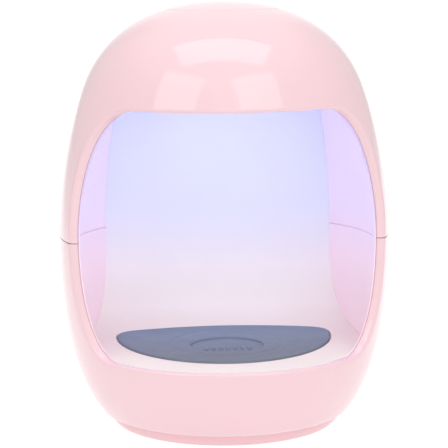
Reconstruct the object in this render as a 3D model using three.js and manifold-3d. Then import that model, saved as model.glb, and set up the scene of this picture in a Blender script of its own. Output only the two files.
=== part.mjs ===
// A small egg-shaped lamp that cures gel on one fingernail with UV LEDs.
// Millimetres, +Z up. The opening for the finger faces -Y.
// The origin is on the egg's vertical axis, on the surface that the lamp stands on.

import * as THREE from 'three';
import { mergeVertices } from 'three/addons/utils/BufferGeometryUtils.js';
import Module from 'manifold-3d';

const wasm = await Module();
wasm.setup();

// ---------------------------------------------------------------- driving dimensions

// The egg's outline, as radius and height: foot, belly, shoulder and crown.
const HEIGHT = 80;
const BELLY_RADIUS = 31.32;
const BELLY_Z = 36;
const FOOT_RADIUS = 21.12;
const SHOULDER_RADIUS = 25.65;
const SHOULDER_Z = 65.9;
const SHOULDER_LEAN = 0.421;
const FOOT_CURVE = { out: 7.87, up: 5.99 };
const BELLY_CURVE = { below: 15.3, above: 12.8 };
const SHOULDER_CURVE = { below: 4.58, above: 9 };
const CROWN_CURVE = 14.1;

// The opening, seen from the side.
const LIP_Z = 15.3;
const LIP_Y = -18.9;
const LIP_CURVE = 4.3;
const OPENING_TOP_Z = 61.3;
const OPENING_TOP_Y = -20.5;
const OPENING_TOP_CURVE = 5.2;
const OPENING_DEEP_Y = -11.1;
const OPENING_DEEP_Z = 40;
const OPENING_SIDE_CURVE = { below: 16, above: 13.8 };

// Walls, seams and gaps.
const WALL = 1.6;
const SEAM_Z = 36.35;
const LINER_SEAM_Z = 35.2;
const GAP = 0.3;
const FACE_GAP = 0.1;
const LINER_INSET = WALL + GAP;
const LINER_WALL = 0.8;
const LINER_SETBACK = 0.5;
const LINER_BACK_Y = 19.3;

// The reflector panel: floor, curve and back in one sheet.
const FLOOR_Z = 15.2;
const PANEL_THICKNESS = 1.5;
const PANEL_BACK_Y = 17.6;
const PANEL_BACK_Z = 36;
const PANEL_FLOOR_END_Y = 1;
const PANEL_TOP_Y = 14.2;
const PANEL_BEND = { alongFloorY: 11.5, upBackZ: 18 };
const PANEL_RISE = { aboveBackZ: 46, belowTopY: 16, belowTopZ: 56 };
const SHELF_Z = 12.3;
const SHELF_THICKNESS = 0.9;

// The silicone pad.
const PAD_HALF_WIDTH = 20.7;
const PAD_FRONT_Y = -20.1;
const PAD_WIDEST_Y = 4.4;
const PAD_BACK_Y = 8.4;
const PAD_BACK_RADIUS = 110;
const PAD_CORNER_X = 17;
const PAD_CORNER_CURVE = { side: 1.3, rear: 2.4 };
const PAD_PROUD = 0.25;
const PAD_POCKET = 0.8;
const PAD_ROUND_RADIUS = 6.95;
const PAD_ROUND_Y = -6;
const PAD_ROUND_DEPTH = 0.25;

// The ceiling and the light unit.
const CEILING_Z = 62.6;
const CEILING_THICKNESS = 1;
const LED_SPACING = 9.5;
const LED_Y = -3;
const LED_BODY_RADIUS = 3.8;
const LED_BODY_HEIGHT = 2.35;
const LED_LENS_RADIUS = 2.5;
const LED_WINDOW_RADIUS = 3;
const LED_CUP_RADIUS = 4.6;
const LED_BOARD_RADIUS = 14.5;
const BOARD_THICKNESS = 1.2;

// The button in the crown and its switch.
const BUTTON_RADIUS = 10.4;
const BUTTON_SKIRT = 1.2;
const BUTTON_FLANGE_RADIUS = 11.7;
const BUTTON_FLANGE_Z = 74.2;
const BUTTON_FLANGE_HEIGHT = 0.8;
const COLLAR_RADIUS = 12.2;
const SWITCH_BOARD_Z = 70.6;
const SWITCH_BODY_SIDE = 6;
const SWITCH_BODY_HEIGHT = 3.45;
const PLUNGER_RADIUS = 1.7;
const PLUNGER_HEIGHT = 1.6;
const PLUNGER_RISE = 1;

// The base.
const BASE_TOP_Z = 2.1;
const BASE_TOP_RADIUS = 21.9;
const BASE_BOTTOM_Z = 0.4;
const BASE_RECESS_RADIUS = 18.9;
const BASE_RECESS_Z = 1.1;
const BASE_SPIGOT_RADIUS = 15.7;
const BASE_SPIGOT_Z = 3;
const BOWL_BOTTOM_Z = 2.2;
const BOWL_FLANGE_TOP_Z = 3.9;
const BOWL_HOLE_RADIUS = 16;
const DISC_RADIUS = 18.6;
const DISC_HOLE_RADIUS = 2.5;

// The main board and the power inlet.
const MAIN_BOARD_Z = 5.4;
const MAIN_BOARD_RADIUS = 15;
const MAIN_BOARD_TONGUE = { halfWidth: 6.5, endY: 22.6 };
const USB = { width: 8.9, height: 3.2, wall: 0.3, backY: 19.3, mouthY: 26.6 };
const USB_SLOT_GAP = 0.35;
const WIRE_RADIUS = 0.55;

// One self-tapping screw fits everywhere but the shelf, where its head is countersunk.
const SCREW = { headRadius: 1.9, headHeight: 1.1, radius: 0.9, slot: 0.45, slotDepth: 0.6 };
const SCREW_HOLE_RADIUS = 1.1;
const POST_RADIUS = 2.1;

// Places of the screws, as [x, y]. Pairs are mirrored left and right.
const BASE_SCREW_RADIUS = 15;
const BASE_SCREW_ANGLES = { front: -90, left: 150, right: 30 };
const LINER_SCREW = [17.5, 9.5];
const LED_BOARD_SCREW = [7.5, 8];
const SWITCH_BOARD_SCREW = [15, 0];
const MAIN_BOARD_SCREW = [10.5, -5];

// Facets.
const ROUND = 40;
const SMALL_ROUND = 12;
const LED_ROUND = 16;
const OUTLINE_STEPS = { bowl: 6, belly: 5, crown: 6 };
const CURVE_STEPS = 7;
const WIRE_STEPS = 24;
const SCREW_ROUND = 10;
const FAR = 45;

const SIDES = { left: -1, right: 1 };

// Heights that follow from the dimensions above. Parts on a board stand a hair above it.
const SOLDER_GAP = 0.05;
const CEILING_TOP_Z = CEILING_Z + CEILING_THICKNESS;
const LED_BOARD_Z = CEILING_TOP_Z + LED_BODY_HEIGHT + 0.25;
const SWITCH_BOARD_TOP_Z = SWITCH_BOARD_Z + BOARD_THICKNESS;
const SWITCH_BODY_Z = SWITCH_BOARD_TOP_Z + SOLDER_GAP;
const SWITCH_TOP_Z = SWITCH_BODY_Z + SWITCH_BODY_HEIGHT;
const PLUNGER_TOP_Z = SWITCH_TOP_Z + PLUNGER_RISE;
const MAIN_BOARD_TOP_Z = MAIN_BOARD_Z + BOARD_THICKNESS;
const PART_Z = MAIN_BOARD_TOP_Z + SOLDER_GAP;
const USB_MIDDLE_Z = PART_Z + USB.height / 2;
const SHELF_TOP_Z = SHELF_Z + SHELF_THICKNESS;

// ---------------------------------------------------------------- materials

function finish(color, roughness, metalness = 0) {
  return new THREE.MeshStandardMaterial({ color, roughness, metalness });
}

const PINK = 0xf6d5d9;
const WHITE = 0xf4f2f5;
const STEEL = 0xb8bcc2;

// ---------------------------------------------------------------- solids

// Turns a closed three.js geometry into a solid that can be cut and joined.
function solidOf(geometry) {
  const bare = geometry.clone();
  bare.deleteAttribute('normal');
  bare.deleteAttribute('uv');
  const merged = mergeVertices(bare, 1e-4);
  const corners = merged.index.array;
  const triangles = [];
  for (let i = 0; i < corners.length; i += 3) {
    const [a, b, c] = corners.slice(i, i + 3);
    if (a !== b && b !== c && c !== a) triangles.push(a, b, c);
  }
  return new wasm.Manifold(new wasm.Mesh({
    numProp: 3,
    vertProperties: new Float32Array(merged.attributes.position.array),
    triVerts: new Uint32Array(triangles),
  }));
}

function geometryOf(solid) {
  const mesh = solid.getMesh();
  const geometry = new THREE.BufferGeometry();
  geometry.setAttribute('position', new THREE.BufferAttribute(mesh.vertProperties, 3));
  geometry.setIndex(new THREE.BufferAttribute(mesh.triVerts, 1));
  geometry.computeVertexNormals();
  return geometry;
}

// Turns an outline of [radius, z] points about the Z axis. It runs upwards on the outside.
function revolve(outline, segments = ROUND) {
  const points = outline.map(([radius, z]) => new THREE.Vector2(radius, z));
  const geometry = new THREE.LatheGeometry(points, segments);
  geometry.rotateX(Math.PI / 2);
  return solidOf(geometry);
}

function cylinder(radius, lowZ, highZ, [x, y] = [0, 0], segments = SMALL_ROUND) {
  const geometry = new THREE.CylinderGeometry(radius, radius, highZ - lowZ, segments);
  geometry.rotateX(Math.PI / 2);
  geometry.translate(x, y, (lowZ + highZ) / 2);
  return solidOf(geometry);
}

function cone(lowRadius, highRadius, lowZ, highZ, [x, y], segments = SMALL_ROUND) {
  const geometry = new THREE.CylinderGeometry(highRadius, lowRadius, highZ - lowZ, segments);
  geometry.rotateX(Math.PI / 2);
  geometry.translate(x, y, (lowZ + highZ) / 2);
  return solidOf(geometry);
}

function boxGeometry([x0, y0, z0], [x1, y1, z1]) {
  const geometry = new THREE.BoxGeometry(x1 - x0, y1 - y0, z1 - z0);
  geometry.translate((x0 + x1) / 2, (y0 + y1) / 2, (z0 + z1) / 2);
  return geometry;
}

function box(low, high) {
  return solidOf(boxGeometry(low, high));
}

// A box on the X axis, turned about Z to stand at an angle around the egg.
function boxAround(angle, low, high) {
  const geometry = boxGeometry(low, high);
  geometry.rotateZ(THREE.MathUtils.degToRad(angle));
  return solidOf(geometry);
}

// Extrudes a shape drawn in Y and Z along X.
function extrudeAcross(shape, halfWidth) {
  const options = { depth: 2 * halfWidth, bevelEnabled: false, curveSegments: CURVE_STEPS };
  const geometry = new THREE.ExtrudeGeometry(shape, options);
  geometry.translate(0, 0, -halfWidth);
  const alongX = new THREE.Matrix4().makeBasis(
    new THREE.Vector3(0, 1, 0),
    new THREE.Vector3(0, 0, 1),
    new THREE.Vector3(1, 0, 0),
  );
  geometry.applyMatrix4(alongX);
  return solidOf(geometry);
}

// Extrudes a shape drawn in X and Y upwards.
function extrudeUp(shape, lowZ, highZ, curveSegments = CURVE_STEPS) {
  const options = { depth: highZ - lowZ, bevelEnabled: false, curveSegments };
  const geometry = new THREE.ExtrudeGeometry(shape, options);
  geometry.translate(0, 0, lowZ);
  return solidOf(geometry);
}

// A point [x, y] on a circle about the axis.
function around(radius, angle) {
  const turn = THREE.MathUtils.degToRad(angle);
  return [radius * Math.cos(turn), radius * Math.sin(turn)];
}

// ---------------------------------------------------------------- the egg

const foot = new THREE.Vector2(FOOT_RADIUS, 0);
const belly = new THREE.Vector2(BELLY_RADIUS, BELLY_Z);
const shoulder = new THREE.Vector2(SHOULDER_RADIUS, SHOULDER_Z);
const crown = new THREE.Vector2(0, HEIGHT);
const shoulderWay = new THREE.Vector2(-Math.sin(SHOULDER_LEAN), Math.cos(SHOULDER_LEAN));

const outlineCurves = [
  {
    steps: OUTLINE_STEPS.bowl,
    curve: new THREE.CubicBezierCurve(
      foot,
      new THREE.Vector2(foot.x + FOOT_CURVE.out, foot.y + FOOT_CURVE.up),
      new THREE.Vector2(belly.x, belly.y - BELLY_CURVE.below),
      belly,
    ),
  },
  {
    steps: OUTLINE_STEPS.belly,
    curve: new THREE.CubicBezierCurve(
      belly,
      new THREE.Vector2(belly.x, belly.y + BELLY_CURVE.above),
      shoulder.clone().addScaledVector(shoulderWay, -SHOULDER_CURVE.below),
      shoulder,
    ),
  },
  {
    steps: OUTLINE_STEPS.crown,
    curve: new THREE.CubicBezierCurve(
      shoulder,
      shoulder.clone().addScaledVector(shoulderWay, SHOULDER_CURVE.above),
      new THREE.Vector2(CROWN_CURVE, crown.y),
      crown,
    ),
  },
];

// The egg's outline moved inwards, as [radius, z] points from the foot to the crown.
function insetOutline(inset) {
  const points = [];
  outlineCurves.forEach(({ curve, steps }, which) => {
    for (let i = which === 0 ? 0 : 1; i <= steps; i += 1) {
      const point = curve.getPoint(i / steps);
      const way = curve.getTangent(i / steps);
      const radius = Math.max(point.x - inset * way.y, 0);
      points.push([radius, point.y + inset * way.x]);
    }
  });
  points[points.length - 1] = [0, HEIGHT - inset];
  return points;
}

function radiusAt(outline, z) {
  for (let i = 1; i < outline.length; i += 1) {
    const [lowRadius, lowZ] = outline[i - 1];
    const [highRadius, highZ] = outline[i];
    if (z <= highZ) return lowRadius + ((highRadius - lowRadius) * (z - lowZ)) / (highZ - lowZ);
  }
  return 0;
}

// The solid egg, moved inwards, between two heights. With no upper height it ends at the crown.
function egg(inset, lowZ, highZ = HEIGHT) {
  const outline = insetOutline(inset);
  const between = outline.filter(([, z]) => z > lowZ + FACE_GAP && z < highZ - FACE_GAP);
  const section = [[0, lowZ], [radiusAt(outline, lowZ), lowZ], ...between];
  if (highZ > HEIGHT - inset - FACE_GAP) {
    if (section[section.length - 1][0] > 0) section.push([0, HEIGHT - inset]);
  } else {
    section.push([radiusAt(outline, highZ), highZ], [0, highZ]);
  }
  return revolve(section);
}

// The space in front of the opening. A setback makes it larger all round.
function openingSpace(setback) {
  const lip = { y: LIP_Y + setback, z: LIP_Z - setback };
  const deep = { y: OPENING_DEEP_Y + setback, z: OPENING_DEEP_Z };
  const top = { y: OPENING_TOP_Y + setback, z: OPENING_TOP_Z + setback };
  const shape = new THREE.Shape();
  shape.moveTo(-FAR, lip.z);
  shape.lineTo(lip.y, lip.z);
  shape.bezierCurveTo(
    lip.y + LIP_CURVE, lip.z, deep.y, deep.z - OPENING_SIDE_CURVE.below, deep.y, deep.z,
  );
  shape.bezierCurveTo(
    deep.y, deep.z + OPENING_SIDE_CURVE.above, top.y + OPENING_TOP_CURVE, top.z, top.y, top.z,
  );
  shape.lineTo(-FAR, top.z);
  shape.closePath();
  return extrudeAcross(shape, FAR);
}

// ---------------------------------------------------------------- outer shells

const HOOK_ANGLES = [50, 90, 130];
const HOOK = { inner: 28, outer: 28.95, halfWidth: 2.2, lowZ: 32.5, rootZ: 36.7, topZ: 39 };
const BARB = { outer: 29.3, topZ: 33.3 };
const CATCH = { inner: 29.1, outer: 30.4, halfWidth: 3, lowZ: 33.6, highZ: 34.4 };

// A post that hangs from the dome and ends inside its wall.
function domePost([x, y], lowZ) {
  return cylinder(POST_RADIUS, lowZ, HEIGHT, [x, y]).intersect(egg(WALL / 2, lowZ - 1));
}

function upperShell() {
  const lowZ = SEAM_Z + GAP / 2;
  const hollow = egg(WALL, lowZ - 1);
  let solid = egg(0, lowZ).subtract(hollow).subtract(openingSpace(0));
  const collar = cylinder(COLLAR_RADIUS, BUTTON_FLANGE_Z + 1, HEIGHT, [0, 0], ROUND);
  solid = solid.add(collar.intersect(egg(WALL / 2, SHOULDER_Z)));
  solid = solid.subtract(cylinder(BUTTON_RADIUS + GAP, SHOULDER_Z, HEIGHT + 1, [0, 0], ROUND));
  for (const side of Object.values(SIDES)) {
    const boardPost = [side * SWITCH_BOARD_SCREW[0], SWITCH_BOARD_SCREW[1]];
    const boardPostZ = SWITCH_BOARD_TOP_Z + FACE_GAP;
    solid = solid.add(domePost(boardPost, boardPostZ));
    const boardHoleTop = boardPostZ + 3.4;
    solid = solid.subtract(cylinder(SCREW_HOLE_RADIUS, boardPostZ - 1, boardHoleTop, boardPost));
    const linerPost = [side * LINER_SCREW[0], LINER_SCREW[1]];
    const linerPostZ = CEILING_TOP_Z + FACE_GAP;
    solid = solid.add(domePost(linerPost, linerPostZ));
    const linerHoleTop = linerPostZ + 6.4;
    solid = solid.subtract(cylinder(SCREW_HOLE_RADIUS, linerPostZ - 1, linerHoleTop, linerPost));
  }
  for (const angle of HOOK_ANGLES) {
    const arm = [[HOOK.inner, -HOOK.halfWidth, HOOK.lowZ], [HOOK.outer, HOOK.halfWidth, HOOK.topZ]];
    const rootRadius = BELLY_RADIUS - WALL / 2;
    const root = [[HOOK.inner, -HOOK.halfWidth, HOOK.rootZ], [rootRadius, HOOK.halfWidth, HOOK.topZ]];
    const barb = [[HOOK.inner, -HOOK.halfWidth, HOOK.lowZ], [BARB.outer, HOOK.halfWidth, BARB.topZ]];
    for (const [low, high] of [arm, root, barb]) solid = solid.add(boxAround(angle, low, high));
  }
  return solid;
}

function stadium(width, height) {
  const reach = (width - height) / 2;
  const shape = new THREE.Shape();
  shape.absarc(reach, 0, height / 2, -Math.PI / 2, Math.PI / 2, false);
  shape.absarc(-reach, 0, height / 2, Math.PI / 2, (3 * Math.PI) / 2, false);
  shape.closePath();
  return shape;
}

// Extrudes a shape drawn in X and Z along Y, about the middle of the power inlet.
function extrudeInlet(shape, lowY, highY) {
  const options = { depth: highY - lowY, bevelEnabled: false, curveSegments: 6 };
  const geometry = new THREE.ExtrudeGeometry(shape, options);
  geometry.rotateX(Math.PI / 2);
  geometry.translate(0, highY, USB_MIDDLE_Z);
  return solidOf(geometry);
}

function lowerShell() {
  const highZ = SEAM_Z - GAP / 2;
  const hollow = egg(WALL, BOWL_FLANGE_TOP_Z, highZ + 1);
  let solid = egg(0, BOWL_BOTTOM_Z, highZ).subtract(hollow).subtract(openingSpace(0));
  solid = solid.subtract(cylinder(BOWL_HOLE_RADIUS, 0, BOWL_FLANGE_TOP_Z + 1, [0, 0], ROUND));
  for (const angle of Object.values(BASE_SCREW_ANGLES)) {
    const spot = around(BASE_SCREW_RADIUS, angle);
    solid = solid.add(cylinder(POST_RADIUS + 0.2, BOWL_BOTTOM_Z, SHELF_Z - FACE_GAP, spot));
    solid = solid.subtract(cylinder(SCREW_HOLE_RADIUS, 0, 7.4, spot));
    solid = solid.subtract(cylinder(SCREW_HOLE_RADIUS, 8.2, SHELF_Z + 1, spot));
  }
  for (const angle of HOOK_ANGLES) {
    const low = [CATCH.inner, -CATCH.halfWidth, CATCH.lowZ];
    const high = [CATCH.outer, CATCH.halfWidth, CATCH.highZ];
    solid = solid.add(boxAround(angle, low, high));
  }
  const slot = stadium(USB.width + 2 * USB_SLOT_GAP, USB.height + 2 * USB_SLOT_GAP);
  return solid.subtract(extrudeInlet(slot, USB.backY, FAR));
}

// ---------------------------------------------------------------- base

function basePlate() {
  let solid = revolve([
    [0, BASE_BOTTOM_Z],
    [FOOT_RADIUS, BASE_BOTTOM_Z],
    [BASE_TOP_RADIUS, BASE_TOP_Z],
    [BASE_SPIGOT_RADIUS, BASE_TOP_Z],
    [BASE_SPIGOT_RADIUS, BASE_SPIGOT_Z],
    [0, BASE_SPIGOT_Z],
  ]);
  solid = solid.subtract(cylinder(BASE_RECESS_RADIUS, -1, BASE_RECESS_Z, [0, 0], ROUND));
  for (const side of Object.values(SIDES)) {
    const spot = [side * MAIN_BOARD_SCREW[0], MAIN_BOARD_SCREW[1]];
    solid = solid.add(cylinder(POST_RADIUS, BASE_TOP_Z, MAIN_BOARD_Z - FACE_GAP, spot));
    solid = solid.subtract(cylinder(SCREW_HOLE_RADIUS, BASE_SPIGOT_Z, MAIN_BOARD_Z + 1, spot));
  }
  for (const angle of Object.values(BASE_SCREW_ANGLES)) {
    const spot = around(BASE_SCREW_RADIUS, angle);
    solid = solid.subtract(cylinder(SCREW_HOLE_RADIUS, 0, BASE_SPIGOT_Z + 1, spot));
    solid = solid.subtract(cylinder(SCREW.headRadius + GAP, 0, BASE_RECESS_Z + 0.4, spot));
    solid = solid.subtract(cylinder(POST_RADIUS + 0.5, BASE_TOP_Z, BASE_SPIGOT_Z + 1, spot));
  }
  return solid;
}

function antiSlipDisc() {
  const topZ = BASE_RECESS_Z - FACE_GAP;
  let solid = cylinder(DISC_RADIUS, 0, topZ, [0, 0], ROUND);
  for (const angle of Object.values(BASE_SCREW_ANGLES)) {
    const spot = around(BASE_SCREW_RADIUS, angle);
    solid = solid.subtract(cylinder(DISC_HOLE_RADIUS, -1, topZ + 1, spot));
  }
  return solid;
}

// ---------------------------------------------------------------- liner

function behindLiner() {
  return box([-FAR, LINER_BACK_Y, 0], [FAR, FAR, HEIGHT]);
}

function upperLiner() {
  const lowZ = LINER_SEAM_Z + GAP / 2;
  let solid = egg(LINER_INSET, lowZ, CEILING_TOP_Z);
  solid = solid.subtract(egg(LINER_INSET + LINER_WALL, lowZ - 1, CEILING_Z));
  solid = solid.subtract(openingSpace(LINER_SETBACK)).subtract(behindLiner());
  for (const place of [-1, 0, 1]) {
    const spot = [place * LED_SPACING, LED_Y];
    const cupTopZ = CEILING_TOP_Z - 0.2;
    const cup = cone(LED_CUP_RADIUS, LED_WINDOW_RADIUS, CEILING_Z - 0.1, cupTopZ, spot, LED_ROUND);
    const window = cylinder(LED_WINDOW_RADIUS, CEILING_Z - 1, CEILING_TOP_Z + 1, spot, LED_ROUND);
    solid = solid.subtract(cup).subtract(window);
  }
  for (const side of Object.values(SIDES)) {
    const boardPost = [side * LED_BOARD_SCREW[0], LED_BOARD_SCREW[1]];
    solid = solid.add(cylinder(POST_RADIUS, CEILING_TOP_Z - 0.5, LED_BOARD_Z - FACE_GAP, boardPost));
    solid = solid.subtract(cylinder(SCREW_HOLE_RADIUS, CEILING_TOP_Z + 0.1, LED_BOARD_Z + 1, boardPost));
    const linerScrew = [side * LINER_SCREW[0], LINER_SCREW[1]];
    solid = solid.subtract(cylinder(SCREW_HOLE_RADIUS, CEILING_Z - 1, CEILING_TOP_Z + 1, linerScrew));
  }
  return solid;
}

function lowerLiner() {
  const highZ = LINER_SEAM_Z - GAP / 2;
  let solid = egg(LINER_INSET, SHELF_Z, highZ);
  solid = solid.subtract(egg(LINER_INSET + LINER_WALL, SHELF_TOP_Z, highZ + 1));
  solid = solid.subtract(openingSpace(LINER_SETBACK)).subtract(behindLiner());
  for (const side of Object.keys(SIDES)) {
    const spot = around(BASE_SCREW_RADIUS, BASE_SCREW_ANGLES[side]);
    const sink = cone(SCREW_HOLE_RADIUS, SCREW.headRadius + 0.2, SHELF_Z, SHELF_TOP_Z + 0.01, spot);
    const hole = cylinder(SCREW_HOLE_RADIUS, SHELF_Z - 1, SHELF_TOP_Z, spot);
    solid = solid.subtract(sink).subtract(hole);
  }
  return solid;
}

// The side view of the panel's front face, from the floor's front to the top of the back.
function panelFace() {
  const floorEnd = new THREE.Vector2(PANEL_FLOOR_END_Y, FLOOR_Z);
  const back = new THREE.Vector2(PANEL_BACK_Y, PANEL_BACK_Z);
  const top = new THREE.Vector2(PANEL_TOP_Y, CEILING_Z - GAP);
  const bend = new THREE.CubicBezierCurve(
    floorEnd,
    new THREE.Vector2(PANEL_BEND.alongFloorY, FLOOR_Z),
    new THREE.Vector2(PANEL_BACK_Y, PANEL_BEND.upBackZ),
    back,
  );
  const rise = new THREE.CubicBezierCurve(
    back,
    new THREE.Vector2(PANEL_BACK_Y, PANEL_RISE.aboveBackZ),
    new THREE.Vector2(PANEL_RISE.belowTopY, PANEL_RISE.belowTopZ),
    top,
  );
  const face = [{ point: new THREE.Vector2(-FAR, FLOOR_Z), way: new THREE.Vector2(1, 0) }];
  for (const [curve, steps] of [[bend, 9], [rise, 4]]) {
    for (let i = curve === bend ? 0 : 1; i <= steps; i += 1) {
      face.push({ point: curve.getPoint(i / steps), way: curve.getTangent(i / steps) });
    }
  }
  return face;
}

// The space between two heights above and below the panel's face, which the pad and its pocket
// share. It ends behind the pad.
function alongFloor(below, above) {
  const floor = panelFace().map(({ point }) => point).filter((point) => point.x < PAD_BACK_Y + 3);
  const lower = floor.map((point) => new THREE.Vector2(point.x, point.y + below));
  const upper = floor.map((point) => new THREE.Vector2(point.x, point.y + above));
  return extrudeAcross(new THREE.Shape([...lower, ...upper.reverse()]), FAR);
}

function reflectorPanel() {
  const face = panelFace();
  const front = face.map(({ point }) => point);
  const rear = face.map(({ point, way }) => new THREE.Vector2(
    point.x + PANEL_THICKNESS * way.y,
    point.y - PANEL_THICKNESS * way.x,
  ));
  const sheet = extrudeAcross(new THREE.Shape([...rear, ...front.reverse()]), FAR);
  const inside = egg(LINER_INSET + LINER_WALL + GAP, SHELF_Z, CEILING_Z);
  const pocket = extrudeUp(padShape(GAP), SHELF_Z, HEIGHT).intersect(alongFloor(-PAD_POCKET, HEIGHT));
  return sheet.intersect(inside).subtract(pocket);
}

// ---------------------------------------------------------------- pad

// The pad from above: half an ellipse in front, rounded corners and an almost straight rear edge.
function padShape(grow) {
  const sideX = PAD_HALF_WIDTH + grow;
  const sideHandleY = PAD_WIDEST_Y + PAD_CORNER_CURVE.side;
  const reach = PAD_WIDEST_Y - PAD_FRONT_Y + grow;
  const rearX = PAD_CORNER_X;
  const rearDrop = PAD_BACK_RADIUS - Math.sqrt(PAD_BACK_RADIUS ** 2 - rearX ** 2);
  const rearY = PAD_BACK_Y + grow - rearDrop;
  const rearHandleX = rearX + PAD_CORNER_CURVE.rear;
  const rearHandleY = rearY - (PAD_CORNER_CURVE.rear * rearX) / PAD_BACK_RADIUS;
  const shape = new THREE.Shape();
  shape.moveTo(rearX, rearY);
  shape.quadraticCurveTo(0, rearY + 2 * rearDrop, -rearX, rearY);
  shape.bezierCurveTo(-rearHandleX, rearHandleY, -sideX, sideHandleY, -sideX, PAD_WIDEST_Y);
  shape.absellipse(0, PAD_WIDEST_Y, sideX, reach, Math.PI, 2 * Math.PI, false);
  shape.bezierCurveTo(sideX, sideHandleY, rearHandleX, rearHandleY, rearX, rearY);
  return shape;
}

function siliconePad() {
  const layer = alongFloor(FACE_GAP - PAD_POCKET, PAD_PROUD);
  const body = extrudeUp(padShape(0), SHELF_Z, HEIGHT).intersect(layer);
  const topZ = FLOOR_Z + PAD_PROUD;
  return body.subtract(cylinder(PAD_ROUND_RADIUS, topZ - PAD_ROUND_DEPTH, topZ + 1, [0, PAD_ROUND_Y], 24));
}

// ---------------------------------------------------------------- screws

// A pan-head screw with a cross recess. Its head rests on z = 0 and its shank points down.
function screwSolid(length) {
  const { headRadius, headHeight, radius, slot, slotDepth } = SCREW;
  const head = revolve([
    [0, -length],
    [radius, -length + 1],
    [radius, 0],
    [headRadius, 0],
    [headRadius, headHeight * 0.6],
    [headRadius * 0.7, headHeight],
    [0, headHeight],
  ], SCREW_ROUND);
  const half = headRadius * 0.55;
  return head
    .subtract(box([-half, -slot / 2, headHeight - slotDepth], [half, slot / 2, headHeight + 1]))
    .subtract(box([-slot / 2, -half, headHeight - slotDepth], [slot / 2, half, headHeight + 1]));
}

// The countersunk screw of the shelf. Its flat top is at z = 0.
function flatScrewSolid(length) {
  const { headRadius, radius, slot, slotDepth } = SCREW;
  const head = revolve([
    [0, -length],
    [radius, -length + 1],
    [radius, -SHELF_THICKNESS],
    [headRadius, 0],
    [0, 0],
  ], SCREW_ROUND);
  const half = headRadius * 0.5;
  return head
    .subtract(box([-half, -slot / 2, -slotDepth], [half, slot / 2, 1]))
    .subtract(box([-slot / 2, -half, -slotDepth], [slot / 2, half, 1]));
}

// ---------------------------------------------------------------- light unit

function ledBoard() {
  let solid = cylinder(LED_BOARD_RADIUS, LED_BOARD_Z, LED_BOARD_Z + BOARD_THICKNESS, [0, 0], 32);
  for (const side of Object.values(SIDES)) {
    const spot = [side * LED_BOARD_SCREW[0], LED_BOARD_SCREW[1]];
    solid = solid.subtract(cylinder(SCREW_HOLE_RADIUS, LED_BOARD_Z - 1, LED_BOARD_Z + 3, spot));
  }
  return solid;
}

// The white ring body of a lamp bead, hanging from z = 0.
function ledBody() {
  return revolve([
    [0, -LED_BODY_HEIGHT],
    [LED_BODY_RADIUS - 0.5, -LED_BODY_HEIGHT],
    [LED_BODY_RADIUS, -LED_BODY_HEIGHT + 0.5],
    [LED_BODY_RADIUS, 0],
    [0, 0],
  ], LED_ROUND);
}

// The clear dome of a lamp bead, hanging from z = 0.
function ledLens() {
  const steps = 4;
  const outline = [];
  for (let i = 0; i <= steps; i += 1) {
    const turn = (i / steps) * (Math.PI / 2);
    outline.push([LED_LENS_RADIUS * Math.sin(turn), -LED_LENS_RADIUS * Math.cos(turn)]);
  }
  outline.push([0, 0]);
  return revolve(outline, LED_ROUND);
}

// ---------------------------------------------------------------- button and switch

function powerButton() {
  const skirtInner = BUTTON_RADIUS - BUTTON_SKIRT;
  const plug = cylinder(BUTTON_RADIUS, BUTTON_FLANGE_Z, HEIGHT + 1, [0, 0], ROUND);
  let solid = plug.intersect(egg(0, SHOULDER_Z));
  const flangeTopZ = BUTTON_FLANGE_Z + BUTTON_FLANGE_HEIGHT;
  solid = solid.add(cylinder(BUTTON_FLANGE_RADIUS, BUTTON_FLANGE_Z, flangeTopZ, [0, 0], ROUND));
  const hollow = cylinder(skirtInner, BUTTON_FLANGE_Z - 1, HEIGHT, [0, 0], ROUND);
  solid = solid.subtract(hollow.intersect(egg(WALL, SHOULDER_Z)));
  return solid.add(cylinder(PLUNGER_RADIUS, PLUNGER_TOP_Z + FACE_GAP, HEIGHT - WALL / 2));
}

function switchBoard() {
  const halfLength = SWITCH_BOARD_SCREW[0] + 2.2;
  const halfDepth = 5;
  let solid = box([-halfLength, -halfDepth, SWITCH_BOARD_Z], [halfLength, halfDepth, SWITCH_BOARD_TOP_Z]);
  for (const side of Object.values(SIDES)) {
    const spot = [side * SWITCH_BOARD_SCREW[0], SWITCH_BOARD_SCREW[1]];
    solid = solid.subtract(cylinder(SCREW_HOLE_RADIUS, SWITCH_BOARD_Z - 1, SWITCH_BOARD_TOP_Z + 1, spot));
  }
  return solid;
}

function switchBody() {
  const half = SWITCH_BODY_SIDE / 2;
  const well = cylinder(PLUNGER_RADIUS + GAP, SWITCH_TOP_Z - 1.3, SWITCH_TOP_Z + 1);
  return box([-half, -half, SWITCH_BODY_Z], [half, half, SWITCH_TOP_Z]).subtract(well);
}

function switchPlunger() {
  return cylinder(PLUNGER_RADIUS, PLUNGER_TOP_Z - PLUNGER_HEIGHT, PLUNGER_TOP_Z);
}

// ---------------------------------------------------------------- main board

function mainBoard() {
  const { halfWidth, endY } = MAIN_BOARD_TONGUE;
  let solid = cylinder(MAIN_BOARD_RADIUS, MAIN_BOARD_Z, MAIN_BOARD_TOP_Z, [0, 0], 32);
  solid = solid.add(box([-halfWidth, 0, MAIN_BOARD_Z], [halfWidth, endY, MAIN_BOARD_TOP_Z]));
  for (const angle of Object.values(BASE_SCREW_ANGLES)) {
    const spot = around(BASE_SCREW_RADIUS, angle);
    solid = solid.subtract(cylinder(POST_RADIUS + 0.6, 0, MAIN_BOARD_TOP_Z + 1, spot));
  }
  for (const side of Object.values(SIDES)) {
    const spot = [side * MAIN_BOARD_SCREW[0], MAIN_BOARD_SCREW[1]];
    solid = solid.subtract(cylinder(SCREW_HOLE_RADIUS, 0, MAIN_BOARD_TOP_Z + 1, spot));
  }
  return solid;
}

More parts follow.
